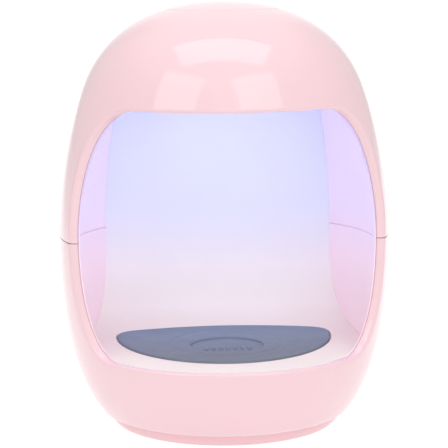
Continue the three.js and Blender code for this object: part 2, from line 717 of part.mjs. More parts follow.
function usbSocketShell() {
  const outer = stadium(USB.width, USB.height);
  const inner = stadium(USB.width - 2 * USB.wall, USB.height - 2 * USB.wall);
  return extrudeInlet(outer, USB.backY, USB.mouthY)
    .subtract(extrudeInlet(inner, USB.backY - 1, USB.mouthY + 1));
}

function usbSocketTongue() {
  const middle = USB_MIDDLE_Z;
  const block = box([-3.2, USB.backY + 0.2, middle - 1.1], [3.2, USB.backY + 1.6, middle + 1.1]);
  return block.add(box([-3.2, USB.backY + 1, middle - 0.35], [3.2, USB.mouthY - 0.7, middle + 0.35]));
}

// ---------------------------------------------------------------- wires

// Each wire runs from the connector, up behind the panel, to the board that it feeds.
function wire(startX, endPoints) {
  const points = [
    [startX, 14.9, 8.9],
    [startX, 17.2, 9.6],
    [startX, 19.5, 11.1],
    [startX, 21.5, 14],
    [startX, 22.2, 21],
    [startX, 22.6, 32],
    [startX, 22.4, 46],
    [startX, 21.6, 57],
    ...endPoints,
  ];
  const route = new THREE.CatmullRomCurve3(points.map((point) => new THREE.Vector3(...point)));
  const section = new THREE.Shape();
  section.absarc(0, 0, WIRE_RADIUS, 0, 2 * Math.PI, false);
  const options = { steps: WIRE_STEPS, curveSegments: 4, extrudePath: route };
  return solidOf(new THREE.ExtrudeGeometry(section, options));
}

// ---------------------------------------------------------------- assembly

const lamp = new THREE.Group();

function addGroup() {
  const group = new THREE.Group();
  lamp.add(group);
  return group;
}

function addPart(group, name, solid, material, position = [0, 0, 0], turn = [0, 0, 0]) {
  const mesh = new THREE.Mesh(geometryOf(solid), material);
  mesh.name = name;
  mesh.position.set(...position);
  mesh.rotation.set(...turn);
  group.add(mesh);
}

// Screws that are driven upwards are turned over.
const UPWARDS = [Math.PI, 0, 0];

function addScrewPair(group, name, length, [x, y], z, turn) {
  for (const [side, sign] of Object.entries(SIDES)) {
    addPart(group, `${name}_${side}`, screwSolid(length), finish(STEEL, 0.35, 1), [sign * x, y, z], turn);
  }
}

const housing = addGroup();
addPart(housing, 'upper_shell', upperShell(), finish(PINK, 0.18));
addPart(housing, 'lower_shell', lowerShell(), finish(PINK, 0.18));
addPart(housing, 'base_plate', basePlate(), finish(PINK, 0.3));
addPart(housing, 'anti_slip_disc', antiSlipDisc(), finish(0x55565c, 0.8));
for (const [place, angle] of Object.entries(BASE_SCREW_ANGLES)) {
  const [x, y] = around(BASE_SCREW_RADIUS, angle);
  const spot = [x, y, BASE_RECESS_Z + 0.35];
  addPart(housing, `base_screw_${place}`, screwSolid(5.5), finish(STEEL, 0.35, 1), spot, UPWARDS);
}

const chamber = addGroup();
addPart(chamber, 'upper_liner', upperLiner(), finish(WHITE, 0.35));
addPart(chamber, 'lower_liner', lowerLiner(), finish(WHITE, 0.35));
addPart(chamber, 'reflector_panel', reflectorPanel(), finish(WHITE, 0.4));
addPart(chamber, 'silicone_pad', siliconePad(), finish(0x82879b, 0.65));
addScrewPair(chamber, 'liner_screw', 7, LINER_SCREW, CEILING_Z - FACE_GAP, UPWARDS);
for (const side of Object.keys(SIDES)) {
  const [x, y] = around(BASE_SCREW_RADIUS, BASE_SCREW_ANGLES[side]);
  const spot = [x, y, SHELF_TOP_Z + SOLDER_GAP];
  addPart(chamber, `liner_floor_screw_${side}`, flatScrewSolid(4.6), finish(STEEL, 0.35, 1), spot);
}

const light = addGroup();
light.position.z = LED_BOARD_Z;
addPart(light, 'led_board', ledBoard().translate([0, 0, -LED_BOARD_Z]), finish(0xe9ecef, 0.5));
addScrewPair(light, 'led_board_screw', 3.2, LED_BOARD_SCREW, BOARD_THICKNESS + FACE_GAP);
for (const [place, offset] of Object.entries({ left: -1, middle: 0, right: 1 })) {
  const [x, y] = [offset * LED_SPACING, LED_Y];
  addPart(light, `led_body_${place}`, ledBody(), finish(0xf2f2ee, 0.5), [x, y, -0.1]);
  const lensZ = -0.1 - LED_BODY_HEIGHT - 0.05;
  addPart(light, `led_lens_${place}`, ledLens(), finish(0xdcd6ff, 0.05), [x, y, lensZ]);
}

const control = addGroup();
addPart(control, 'power_button', powerButton(), finish(PINK, 0.2));
addPart(control, 'switch_board', switchBoard(), finish(0x2f7d4f, 0.5));
addPart(control, 'switch_body', switchBody(), finish(0x2a2b2e, 0.5));
addPart(control, 'switch_plunger', switchPlunger(), finish(0x1d1e20, 0.4));
addScrewPair(control, 'switch_board_screw', 2.9, SWITCH_BOARD_SCREW, SWITCH_BOARD_Z - FACE_GAP, UPWARDS);

const electronics = addGroup();
addPart(electronics, 'main_board', mainBoard(), finish(0x2f7d4f, 0.5));
addScrewPair(electronics, 'main_board_screw', 3.7, MAIN_BOARD_SCREW, MAIN_BOARD_TOP_Z + FACE_GAP);
addPart(electronics, 'usb_socket_shell', usbSocketShell(), finish(STEEL, 0.3, 1));
addPart(electronics, 'usb_socket_tongue', usbSocketTongue(), finish(0x1d1e20, 0.5));
addPart(electronics, 'controller_chip', box([-9, -3, PART_Z], [-4, 1, PART_Z + 1.5]), finish(0x1d1e20, 0.5));
addPart(electronics, 'power_inductor', cylinder(3, PART_Z, PART_Z + 2.8, [6, 0]), finish(0x3a3b40, 0.6));
addPart(electronics, 'filter_capacitor', cylinder(2.5, PART_Z, PART_Z + 4.2, [0, -7]), finish(STEEL, 0.3, 1));
addPart(electronics, 'wire_connector', box([-5.2, 9.8, PART_Z], [5.2, 14.2, PART_Z + 4]), finish(WHITE, 0.5));

const toLedBoard = (x) => [[x, 20.9, 62.4], [x, 18.2, 67], [x, 14.6, 69], [x, 11.6, 68.15]];
const toSwitchBoard = (x) => [
  [x, 20.8, 62.6],
  [x, 17.4, 67.8],
  [x, 12, 71.4],
  [x, 7.8, 72.6],
  [x, 4.1, 72.5],
];
addPart(electronics, 'led_wire_red', wire(-1.5, toLedBoard(-1.5)), finish(0xc23030, 0.5));
addPart(electronics, 'led_wire_black', wire(1.5, toLedBoard(1.5)), finish(0x202124, 0.5));
addPart(electronics, 'switch_wire_yellow', wire(-4.3, toSwitchBoard(-4.3)), finish(0xd8b13a, 0.5));
addPart(electronics, 'switch_wire_white', wire(4.3, toSwitchBoard(4.3)), finish(0xe8e8e8, 0.5));

export default lamp;
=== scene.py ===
# An egg-shaped UV LED nail lamp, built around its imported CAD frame.
# Lengths are in metres. Sizes given in millimetres are multiplied by MM.
import math

import bmesh
import bpy
import numpy as np
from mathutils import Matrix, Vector


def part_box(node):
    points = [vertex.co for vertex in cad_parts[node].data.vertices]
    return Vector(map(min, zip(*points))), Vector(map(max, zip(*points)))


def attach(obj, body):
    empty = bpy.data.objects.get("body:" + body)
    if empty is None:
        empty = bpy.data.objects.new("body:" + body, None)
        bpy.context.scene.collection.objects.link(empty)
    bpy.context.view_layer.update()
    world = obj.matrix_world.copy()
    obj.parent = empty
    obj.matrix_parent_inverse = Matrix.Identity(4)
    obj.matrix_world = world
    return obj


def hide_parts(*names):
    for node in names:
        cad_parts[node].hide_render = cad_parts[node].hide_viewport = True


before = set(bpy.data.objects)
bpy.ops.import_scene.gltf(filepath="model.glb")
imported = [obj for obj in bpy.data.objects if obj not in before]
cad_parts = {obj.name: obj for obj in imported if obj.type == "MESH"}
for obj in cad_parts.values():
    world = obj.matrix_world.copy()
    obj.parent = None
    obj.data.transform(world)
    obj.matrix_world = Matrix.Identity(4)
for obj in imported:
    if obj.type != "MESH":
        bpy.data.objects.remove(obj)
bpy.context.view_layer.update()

MM = 0.001


# ---------------------------------------------------------------- sizes


def low(node):
    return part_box(node)[0]


def high(node):
    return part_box(node)[1]


def middle(node):
    return (low(node) + high(node)) / 2


HEIGHT = high("power_button").z
BELLY = (high("lower_shell").x, 36 * MM)
FOOT_RADIUS = 21.12 * MM
SHOULDER = (25.65 * MM, 65.9 * MM)
SHOULDER_LEAN = 0.421
WALL = 1.6 * MM
LINER_OUTSIDE = WALL + 0.04 * MM
LINER_INSIDE = 2.6 * MM
LINER_RIM_INSIDE = 1.78 * MM
LINER_SETBACK = 0.15 * MM
PANEL_INSET = LINER_INSIDE + 0.08 * MM

# The opening, seen from the side, as (y, z).
LIP = (-18.9 * MM, 15.3 * MM)
DEEP = (-11.1 * MM, 40 * MM)
TOP = (-20.5 * MM, 61.3 * MM)

LOWER_SEAM_Z = high("lower_shell").z
UPPER_SEAM_Z = LOWER_SEAM_Z + 0.13 * MM
COLLAR_Z = 75.2 * MM
COLLAR_RADIUS = 12.2 * MM
BUTTON_HOLE = 10.56 * MM
BUTTON_RADIUS = 10.48 * MM
BOWL_BOTTOM_Z = low("lower_shell").z
FLANGE_TOP_Z = 3.9 * MM
FLANGE_HOLE = 16 * MM
CEILING_Z = 62.6 * MM
CROWN_RING_Z = 66 * MM
BOWL_RING_Z = 9 * MM
LINER_TOP_RING_Z = 62.05 * MM
LINER_LOW_RING_Z = 14.4 * MM
SHELF_Z = low("lower_liner").z
FLOOR_Z = 15.2 * MM


# ---------------------------------------------------------------- curves


def bezier(points, steps):
    t = np.linspace(0, 1, steps)[:, None]
    a, b, c, d = np.array(points, float)
    return (1 - t) ** 3 * a + 3 * (1 - t) ** 2 * t * b + 3 * (1 - t) * t**2 * c + t**3 * d


def joined(*curves):
    return np.vstack([curves[0]] + [curve[1:] for curve in curves[1:]])


def tangents(curve):
    way = np.gradient(curve, axis=0)
    return way / np.linalg.norm(way, axis=1)[:, None]


def lengths(curve):
    return np.concatenate([[0], np.cumsum(np.linalg.norm(np.diff(curve, axis=0), axis=1))])


def spread(curve, count, ease=1.0):
    """The curve as count points, evenly spaced, or closer at its start where ease is over 1."""
    run = lengths(curve)
    at = run[-1] * np.linspace(0, 1, count) ** ease
    return np.column_stack([np.interp(at, run, curve[:, k]) for k in range(curve.shape[1])])


def fillet(before, corner, after, radius, steps=5):
    """Points that round the corner between two neighbours."""
    before, corner, after = (np.array(p, float) for p in (before, corner, after))
    start = corner + (before - corner) / np.linalg.norm(before - corner) * radius
    end = corner + (after - corner) / np.linalg.norm(after - corner) * radius
    t = np.linspace(0, 1, steps)[:, None]
    return (1 - t) ** 2 * start + 2 * (1 - t) * t * corner + t**2 * end


def rounded(points, radii, steps=5):
    """An open polyline whose inner corners are filleted. A radius of 0 keeps the corner."""
    out = [np.array([points[0]], float)]
    for k in range(1, len(points) - 1):
        if radii[k]:
            out.append(fillet(points[k - 1], points[k], points[k + 1], radii[k], steps))
        else:
            out.append(np.array([points[k]], float))
    out.append(np.array([points[-1]], float))
    return np.vstack(out)


lean = np.array([-math.sin(SHOULDER_LEAN), math.cos(SHOULDER_LEAN)])
EGG = joined(
    bezier([(FOOT_RADIUS, 0), (FOOT_RADIUS + 7.87 * MM, 5.99 * MM),
            (BELLY[0], BELLY[1] - 15.3 * MM), BELLY], 300),
    bezier([BELLY, (BELLY[0], BELLY[1] + 12.8 * MM), SHOULDER - 4.58 * MM * lean, SHOULDER], 300),
    bezier([SHOULDER, SHOULDER + 9 * MM * lean, (14.1 * MM, HEIGHT), (0, HEIGHT)], 300),
)
EGG_OUT = np.column_stack([tangents(EGG)[:, 1], -tangents(EGG)[:, 0]])


def inset(depth):
    return EGG - depth * EGG_OUT


def radius(depth, z):
    """The egg's radius at height z, that deep under its surface."""
    z = np.asarray(z, float)
    depth = np.broadcast_to(depth, z.shape)
    out = np.zeros(z.shape)
    for value in np.unique(depth):
        curve = inset(value)
        here = depth == value
        out[here] = np.interp(z[here], curve[:, 1], curve[:, 0])
    return out


def egg_arc(depth, low_z, high_z, count):
    """The egg's outline between two heights, that deep under its surface, as (r, z)."""
    curve = inset(depth)
    inside = curve[(curve[:, 1] > low_z) & (curve[:, 1] < high_z)]
    ends = [(float(radius(depth, z)), z) for z in (low_z, high_z)]
    return spread(np.vstack([ends[0], inside, ends[1]]), count)


def height_at(depth, r):
    """The height of the upper egg's outline at a radius."""
    curve = inset(depth)[600:]
    return float(np.interp(-r, -curve[:, 0], curve[:, 1]))


# ---------------------------------------------------------------- meshes


def smooth(mesh, sharp_over=40):
    mesh.shade_smooth()
    mesh.set_sharp_from_angle(angle=math.radians(sharp_over))


def dress(obj, material, body, stands_for):
    """Gives a shown piece its material and its body, and hides the frame nodes that it stands for.
    """
    obj.data.materials.clear()
    obj.data.materials.append(material)
    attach(obj, body)
    if stands_for:
        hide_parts(*stands_for)


def piece(name, meshes, material, body="housing", stands_for=(), sharp_over=40):
    """One piece from several (points, faces) parts, each of them a closed body.

    A piece without a material is a cutter, or is dressed later.
    """
    bm = bmesh.new()
    for points, faces in meshes:
        verts = [bm.verts.new(p) for p in points]
        for face in faces:
            bm.faces.new([verts[k] for k in face])
    bmesh.ops.remove_doubles(bm, verts=bm.verts, dist=1e-7)
    bmesh.ops.dissolve_degenerate(bm, edges=bm.edges, dist=1e-8)
    bmesh.ops.recalc_face_normals(bm, faces=bm.faces)
    mesh = bpy.data.meshes.new(name)
    bm.to_mesh(mesh)
    bm.free()
    smooth(mesh, sharp_over)
    obj = bpy.data.objects.new(name, mesh)
    bpy.context.scene.collection.objects.link(obj)
    if material:
        dress(obj, material, body, stands_for)
    return obj


def cut(obj, cutters, sharp_over=40):
    """Subtracts closed pieces from obj and removes them."""
    for cutter in cutters:
        step = obj.modifiers.new("cut", "BOOLEAN")
        step.operation = "DIFFERENCE"
        step.solver = "MANIFOLD"
        step.object = cutter
    depsgraph = bpy.context.evaluated_depsgraph_get()
    mesh = bpy.data.meshes.new_from_object(obj.evaluated_get(depsgraph))
    obj.modifiers.clear()
    obj.data = mesh
    mesh.name = obj.name
    smooth(mesh, sharp_over)
    for cutter in cutters:
        bpy.data.objects.remove(cutter)
    return obj


def loft(rows, closed=False, start_cap=False, end_cap=False):
    """Faces between rows of points. Each row is a closed loop."""
    rows = np.array(rows)
    count, around = rows.shape[:2]
    faces = []
    for k in range(count if closed else count - 1):
        n = (k + 1) % count
        for j in range(around):
            m = (j + 1) % around
            faces.append((k * around + j, k * around + m, n * around + m, n * around + j))
    points = [tuple(p) for p in rows.reshape(-1, 3)]
    for cap, k in ((start_cap, 0), (end_cap, count - 1)):
        if cap:
            points.append(tuple(rows[k].mean(0)))
            for j in range(around):
                faces.append((k * around + j, k * around + (j + 1) % around, len(points) - 1))
    return points, faces


def lathe(profile, centre=(0, 0), around=96, closed=True):
    """Turns (r, z) points about a vertical axis. A point on the axis closes the end."""
    turn = np.linspace(0, 2 * math.pi, around, endpoint=False)
    profile = np.array(profile, float)
    circle = np.column_stack([np.cos(turn), np.sin(turn)])
    rows = [np.column_stack([np.array(centre) + r * circle, np.full(around, z)])
            for r, z in profile]
    return loft(rows, closed=closed and profile[0][0] > 1e-9 and profile[-1][0] > 1e-9)


def block(low_corner, high_corner, bevel=0.0):
    """A box with its edges rounded off."""
    x0, y0, z0 = low_corner
    x1, y1, z1 = high_corner
    rows = []
    profile = [(bevel, 0), (bevel * 0.3, bevel * 0.3), (0, bevel)] if bevel else [(0, 0)]
    outline = profile + [(back, (z1 - z0) - up) for back, up in reversed(profile)]
    for back, up in outline:
        corner = max(bevel - back, 0) + 1e-9
        row = []
        for cx, cy, start in ((x1, y1, 0), (x0, y1, 90), (x0, y0, 180), (x1, y0, 270)):
            sx = -1 if cx == x1 else 1
            sy = -1 if cy == y1 else 1
            mid = (cx + sx * (back + corner), cy + sy * (back + corner))
            for step in range(4):
                angle = math.radians(start + 30 * step)
                row.append((mid[0] + corner * math.cos(angle),
                            mid[1] + corner * math.sin(angle), z0 + up))
        rows.append(row)
    return loft(rows, start_cap=True, end_cap=True)


# ---------------------------------------------------------------- the egg's hollow halves

# Columns from the middle of the opening to the back: its straight edge, its side, the seam.
FRONT_COLUMNS = 24
SIDE_COLUMNS = 48
REAR_COLUMNS = 48
OPEN_COLUMNS = FRONT_COLUMNS + SIDE_COLUMNS
RIM_BLEND = 14 * MM


def edge_columns(upper, setback, seam_z):
    """Where the columns of one half meet the opening, and then the seam."""
    side = joined(
        bezier([LIP, (LIP[0] + 4.3 * MM, LIP[1]), (DEEP[0], DEEP[1] - 16 * MM), DEEP], 400),
        bezier([DEEP, (DEEP[0], DEEP[1] + 13.8 * MM), (TOP[0] + 5.2 * MM, TOP[1]), TOP], 400),
    )
    way = tangents(side)
    into_wall = np.column_stack([way[:, 1], -way[:, 0]])
    side = side + setback * into_wall
    curve = np.column_stack([side, into_wall])
    if upper:
        curve = curve[::-1]
        curve = curve[curve[:, 1] >= seam_z]
    else:
        curve = curve[curve[:, 1] <= seam_z]
    run = lengths(curve[:, :2])
    at = np.linspace(0, run[-1], SIDE_COLUMNS)
    y, z, ny, nz = (np.interp(at, run, curve[:, k]) for k in range(4))
    z[-1] = seam_z
    return {"up": 1 if upper else -1, "y": y, "z": z, "ny": ny, "nz": nz, "seam_z": seam_z,
            "front": np.arange(FRONT_COLUMNS) / FRONT_COLUMNS,
            "rear": np.arange(1, REAR_COLUMNS + 1) / REAR_COLUMNS}


def edge_row(edge, depth, back, seam_depth, seam_back):
    """One row of (angle, height, depth) that stays `back` away from the opening's edge."""
    y = edge["y"] + edge["ny"] * back
    z = edge["z"] + edge["nz"] * back
    z[-1] += edge["up"] * seam_back
    side = np.arccos(np.clip(-y / radius(depth, z), -1, 1))
    front = edge["front"] * side[0]
    rear = side[-1] + edge["rear"] * (math.pi - side[-1])
    angle = np.concatenate([front, side, rear])
    height = np.concatenate([np.full(len(front), z[0]), z,
                             np.full(len(rear), edge["seam_z"] + edge["up"] * seam_back)])
    deep = np.concatenate([np.full(len(front) + len(side), depth), np.full(len(rear), seam_depth)])
    return angle, height, deep


def egg_row(angle, r, z):
    """The points at those angles, and their mirror images, as one closed loop."""
    r = np.broadcast_to(r, angle.shape)
    z = np.broadcast_to(z, angle.shape)
    right = np.column_stack([r * np.sin(angle), -r * np.cos(angle), z])
    right[-1, 0] = 0
    left = right[-2:0:-1] * (-1, 1, 1)
    return np.vstack([right, left])


def hollow_half(edge, outside, inside, ring_z, outer_end, inner_end, rim=(0.6 * MM, 0.45 * MM),
                seam=0.12 * MM, rows=26, closed=True, rim_inside=None):
    """One half of the shell or the liner, with a rounded rim.

    outer_end runs as (r, z) from the ring on the outer side to the end of the half, and
    inner_end comes back from there to the ring on the inner side. The wall can be thinner at
    its rim, where its inside is only rim_inside deep.
    """
    rim_inside = rim_inside or inside
    ring = edge_row(edge, outside, 0, outside, 0)[0].copy()
    ring[FRONT_COLUMNS:OPEN_COLUMNS] = np.linspace(
        ring[FRONT_COLUMNS], ring[OPEN_COLUMNS - 1], SIDE_COLUMNS)
    quarter = np.linspace(0, math.pi / 2, 7)

    def surface(depth, start, rim_depth):
        out = []
        opening = spread(
            np.column_stack([BELLY[0] * start[0], start[1]])[:OPEN_COLUMNS], 600)
        for k in range(rows + 1):
            w = (k / rows) ** 1.4
            a = start[0] * (1 - w) + ring * w
            z = start[1] * (1 - w) + ring_z * w
            here = np.column_stack([BELLY[0] * a, z])
            away = np.linalg.norm(here[:, None] - opening[None], axis=2).min(1)
            full = 1 - np.maximum(1 - away / RIM_BLEND, 0) ** 1.5
            out.append(egg_row(a, radius(rim_depth, z) * (1 - full) + radius(depth, z) * full, z))
        return out

    def rounding(depth, size, seam_size, sign):
        out = []
        for t in quarter:
            back = (1 - math.sin(t), 1 - math.cos(t))
            row = edge_row(edge, depth + sign * size * back[1], size * back[0],
                           depth + sign * seam_size * back[1], seam_size * back[0])
            out.append(row)
        return out

    outer_round = rounding(outside, rim[0], seam, 1)
    inner_round = rounding(rim_inside, rim[1], seam, -1)
    face = []
    for w in (0.33, 0.67):
        deep = outer_round[-1][2] * (1 - w) + inner_round[-1][2] * w
        face.append(edge_row(edge, deep[0], 0, deep[-1], 0))
    loops = [egg_row(ring, r, z) for r, z in outer_end[::-1]][:-1]
    loops += surface(outside, outer_round[0], outside)[::-1]
    for a, z, deep in outer_round[1:] + face + inner_round[::-1][:-1]:
        loops.append(egg_row(a, radius(deep, z), z))
    loops += surface(inside, inner_round[0], rim_inside)
    loops += [egg_row(ring, r, z) for r, z in inner_end[::-1]][1:]
    return loft(loops, closed=closed)


# ---------------------------------------------------------------- materials


def new_material(name):
    mat = bpy.data.materials.new("look_" + name)
    mat["slot"] = name
    mat.use_nodes = True
    tree = mat.node_tree
    tree.nodes.clear()
    out = tree.nodes.new("ShaderNodeOutputMaterial")
    bsdf = tree.nodes.new("ShaderNodeBsdfPrincipled")
    tree.links.new(bsdf.outputs["BSDF"], out.inputs["Surface"])
    place = tree.nodes.new("ShaderNodeTexCoord")
    return mat, tree, bsdf, place


def noise(tree, place, scale, detail=3.0, stretch=None):
    node = tree.nodes.new("ShaderNodeTexNoise")
    node.inputs["Scale"].default_value = scale
    node.inputs["Detail"].default_value = detail
    source = place.outputs["Object"]
    if stretch:
        mapping = tree.nodes.new("ShaderNodeMapping")
        mapping.inputs["Scale"].default_value = stretch
        tree.links.new(source, mapping.inputs["Vector"])
        source = mapping.outputs["Vector"]
    tree.links.new(source, node.inputs["Vector"])
    return node.outputs["Fac"]


def spread_values(tree, source, low_value, high_value, from_low=0.3, from_high=0.7):
    node = tree.nodes.new("ShaderNodeMapRange")
    node.inputs["From Min"].default_value = from_low
    node.inputs["From Max"].default_value = from_high
    node.inputs["To Min"].default_value = low_value
    node.inputs["To Max"].default_value = high_value
    tree.links.new(source, node.inputs["Value"])
    return node.outputs["Result"]


def ramp(tree, source, stops):
    node = tree.nodes.new("ShaderNodeValToRGB")
    while len(node.color_ramp.elements) < len(stops):
        node.color_ramp.elements.new(0.5)
    for element, (at, colour) in zip(node.color_ramp.elements, stops):
        element.position = at
        element.color = (*colour, 1)
    tree.links.new(source, node.inputs["Fac"])
    return node.outputs["Color"]


def add_bump(tree, bsdf, source, strength, distance):
    node = tree.nodes.new("ShaderNodeBump")
    node.inputs["Strength"].default_value = strength
    node.inputs["Distance"].default_value = distance
    tree.links.new(source, node.inputs["Height"])
    tree.links.new(node.outputs["Normal"], bsdf.inputs["Normal"])


def surface_material(name, colour, rough, vary=0.02, patch=90, grain=2600, grain_strength=0.06,
                     grain_depth=0.00003, rough_vary=0.04, metallic=0.0, stretch=None, **values):
    """Plastic, rubber or metal: slightly uneven colour and gloss, and a fine grain."""
    mat, tree, bsdf, place = new_material(name)
    patches = noise(tree, place, patch, 4, stretch)
    dark = [max(c * (1 - vary), 0) for c in colour]
    light = [min(c * (1 + vary), 1) for c in colour]
    shades = ramp(tree, patches, [(0.3, dark), (0.7, light)])
    tree.links.new(shades, bsdf.inputs["Base Color"])
    sheen = spread_values(tree, noise(tree, place, patch * 3, 3, stretch),
                          max(rough - rough_vary, 0.02), min(rough + rough_vary, 1))
    tree.links.new(sheen, bsdf.inputs["Roughness"])
    add_bump(tree, bsdf, noise(tree, place, grain, 2, stretch), grain_strength, grain_depth)
    bsdf.inputs["Metallic"].default_value = metallic
    for key, value in values.items():
        bsdf.inputs[key.replace("_", " ")].default_value = value
    return mat


def glow_along(mat, axis, start, end, stops):
    """Painted light: emission on a surface that is no lamp, standing for light that falls on it
    from the LEDs and nearby parts, changing along an axis.
    """
    tree = mat.node_tree
    bsdf = next(n for n in tree.nodes if n.type == "BSDF_PRINCIPLED")
    place = next(n for n in tree.nodes if n.type == "TEX_COORD")
    parts = tree.nodes.new("ShaderNodeSeparateXYZ")
    tree.links.new(place.outputs["Object"], parts.inputs["Vector"])
    way = spread_values(tree, parts.outputs[axis], 0, 1, start, end)
    tree.links.new(ramp(tree, way, stops), bsdf.inputs["Emission Color"])
    bsdf.inputs["Emission Strength"].default_value = 1


PINK = (0.8, 0.56, 0.597)
shell_pink = surface_material("shell_pink", PINK, 0.09, vary=0.012, patch=55, grain=1500,
                              grain_strength=0.05, rough_vary=0.02, Coat_Weight=0.25,
                              Coat_Roughness=0.05)
base_pink = surface_material("base_pink", (0.82, 0.525, 0.555), 0.3, vary=0.015, patch=70,
                             grain=2200, grain_strength=0.1)
# The liner is white plastic. The pinkish violet tint of its base colour is painted light from the
# LEDs and the pink shell.
liner_white = surface_material("liner_white", (0.80, 0.71, 0.80), 0.42, vary=0.01)
panel_white = surface_material("panel_white", (0.70, 0.735, 0.65), 0.4, vary=0.01)
pad_silicone = surface_material("pad_silicone", (0.129, 0.158, 0.181), 0.55, vary=0.03, patch=140,
                                grain=5200, grain_strength=0.25, Specular_IOR_Level=0.7)
disc_rubber = surface_material("disc_rubber", (0.80, 0.74, 0.75), 0.7, vary=0.03, patch=160,
                               grain=4200, grain_strength=0.3)
screw_steel = surface_material("screw_steel", (0.58, 0.58, 0.6), 0.28, vary=0.06, patch=900,
                               grain=9000, grain_strength=0.1, metallic=1.0)
usb_steel = surface_material("usb_steel", (0.66, 0.66, 0.68), 0.25, vary=0.04, patch=700,
                             metallic=1.0, stretch=(1, 0.1, 1))
usb_black = surface_material("usb_black", (0.02, 0.02, 0.022), 0.4, vary=0.2, patch=900)
switch_black = surface_material("switch_black", (0.018, 0.018, 0.02), 0.45, vary=0.2, patch=900)
chip_black = surface_material("chip_black", (0.022, 0.022, 0.024), 0.55, vary=0.2, patch=2000,
                              grain=9000, grain_strength=0.3)
ferrite_grey = surface_material("ferrite_grey", (0.06, 0.06, 0.065), 0.6, vary=0.2, patch=1500,
                                grain=7000, grain_strength=0.4)
can_aluminium = surface_material("can_aluminium", (0.78, 0.78, 0.8), 0.3, vary=0.05, patch=900,
                                 metallic=1.0, stretch=(1, 1, 0.1))
connector_white = surface_material("connector_white", (0.8, 0.78, 0.72), 0.45, vary=0.03, patch=900)
led_white = surface_material("led_white", (0.82, 0.82, 0.84), 0.4, vary=0.02, patch=700)
board_white = surface_material("board_white", (0.82, 0.83, 0.82), 0.35, vary=0.03, patch=500)
board_green = surface_material("board_green", (0.03, 0.17, 0.07), 0.32, vary=0.35, patch=420,
                               stretch=(1, 6, 1))
WIRE_COLOURS = {"wire_red": (0.55, 0.02, 0.02), "wire_black": (0.02, 0.02, 0.02),
                "wire_yellow": (0.75, 0.5, 0.03), "wire_white": (0.78, 0.78, 0.76)}
WIRES = {name: surface_material(name, colour, 0.42, vary=0.08, patch=900)
         for name, colour in WIRE_COLOURS.items()}
lens_clear = surface_material("lens_clear", (0.86, 0.86, 0.98), 0.08, vary=0.01, patch=400,
                              Transmission_Weight=0.6, IOR=1.45,
                              Emission_Color=(0.45, 0.35, 1, 1), Emission_Strength=2.2)

# Painted light on the reflector panel: pink light bounced off the shell near the floor, turning to
# violet-blue LED light higher up.
glow_along(panel_white, "Z", 14.6 * MM, 62 * MM,
           [(0.0, (0.0, 0.0, 0.0)), (0.01, (0.1, 0.0, 0.0)), (0.09, (0.19, 0.11, 0.13)),
            (0.255, (0.24, 0.18, 0.28)), (0.505, (0.12, 0.14, 0.36)), (1.0, (0.0, 0.04, 0.35))])
# Painted light on the liner: pink light bounced off the shell low down, turning to violet-blue LED
# light high up.
glow_along(liner_white, "Z", 15 * MM, 60 * MM,
           [(0.0, (0.16, 0.06, 0.02)), (0.3, (0.22, 0.13, 0.12)), (0.5, (0.16, 0.14, 0.2)),
            (1.0, (0.09, 0.1, 0.25))])
# Painted reflection on the finger pad: a weak blue glow from the lit panel, growing towards the
# back.
glow_along(pad_silicone, "Y", -15 * MM, 4 * MM, [(0.0, (0, 0, 0)), (1.0, (0.03, 0.056, 0.12))])


# ---------------------------------------------------------------- shells

crown_hole_z = height_at(0, BUTTON_HOLE)
outer_crown = egg_arc(0, CROWN_RING_Z, height_at(0, BUTTON_HOLE + 0.12 * MM), 22)
inner_crown = egg_arc(WALL, CROWN_RING_Z, height_at(WALL, COLLAR_RADIUS), 14)
hole_wall = rounded(
    [outer_crown[-1], (BUTTON_HOLE, crown_hole_z), (BUTTON_HOLE, COLLAR_Z),
     (COLLAR_RADIUS, COLLAR_Z), inner_crown[-1]],
    [0, 0.1 * MM, 0.15 * MM, 0.15 * MM, 0])
piece("shell_upper",
      [hollow_half(edge_columns(True, 0, UPPER_SEAM_Z), 0, WALL, CROWN_RING_Z, outer_crown,
                   np.vstack([hole_wall[1:-1], inner_crown[::-1]]))],
      shell_pink, stands_for=["upper_shell"])

outer_foot = egg_arc(0, BOWL_BOTTOM_Z + 0.7 * MM, BOWL_RING_Z, 14)[::-1]
inner_foot = egg_arc(WALL, FLANGE_TOP_Z + 0.5 * MM, BOWL_RING_Z, 8)
foot_wall = rounded(
    [outer_foot[-1], (float(radius(0, BOWL_BOTTOM_Z)), BOWL_BOTTOM_Z),
     (FLANGE_HOLE, BOWL_BOTTOM_Z), (FLANGE_HOLE, FLANGE_TOP_Z),
     (float(radius(WALL, FLANGE_TOP_Z)), FLANGE_TOP_Z), inner_foot[0]],
    [0, 0.85 * MM, 0.2 * MM, 0.2 * MM, 0.4 * MM, 0], steps=9)
lower_shell = piece(
    "shell_lower",
    [hollow_half(edge_columns(False, 0, LOWER_SEAM_Z), 0, WALL, BOWL_RING_Z, outer_foot,
                 np.vstack([foot_wall[1:-1], inner_foot]))],
    shell_pink, stands_for=["lower_shell"])


# ---------------------------------------------------------------- USB inlet


def stadium_loop(width, height, y, middle_z, steps=14):
    """A slot shape that faces backwards: straight top and bottom, round ends."""
    r = height / 2
    turn = np.linspace(-math.pi / 2, math.pi / 2, steps)
    half = width / 2 - r
    right = np.column_stack([half + r * np.cos(turn), r * np.sin(turn)])
    loop = np.vstack([right, -right])
    return np.column_stack([loop[:, 0], np.full(len(loop), y), middle_z + loop[:, 1]])


usb_low, usb_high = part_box("usb_socket_shell")
USB_Z = (usb_low.z + usb_high.z) / 2
USB_W = usb_high.x - usb_low.x
USB_H = usb_high.z - usb_low.z
SLOT_GAP = 0.35 * MM
slot_loops = [stadium_loop(USB_W + 2 * SLOT_GAP, USB_H + 2 * SLOT_GAP, y, USB_Z)
              for y in (18 * MM, 34 * MM)]
slot_cutter = piece("slot_cutter", [loft(slot_loops, start_cap=True, end_cap=True)], None)
cut(lower_shell, [slot_cutter])


# ---------------------------------------------------------------- liner


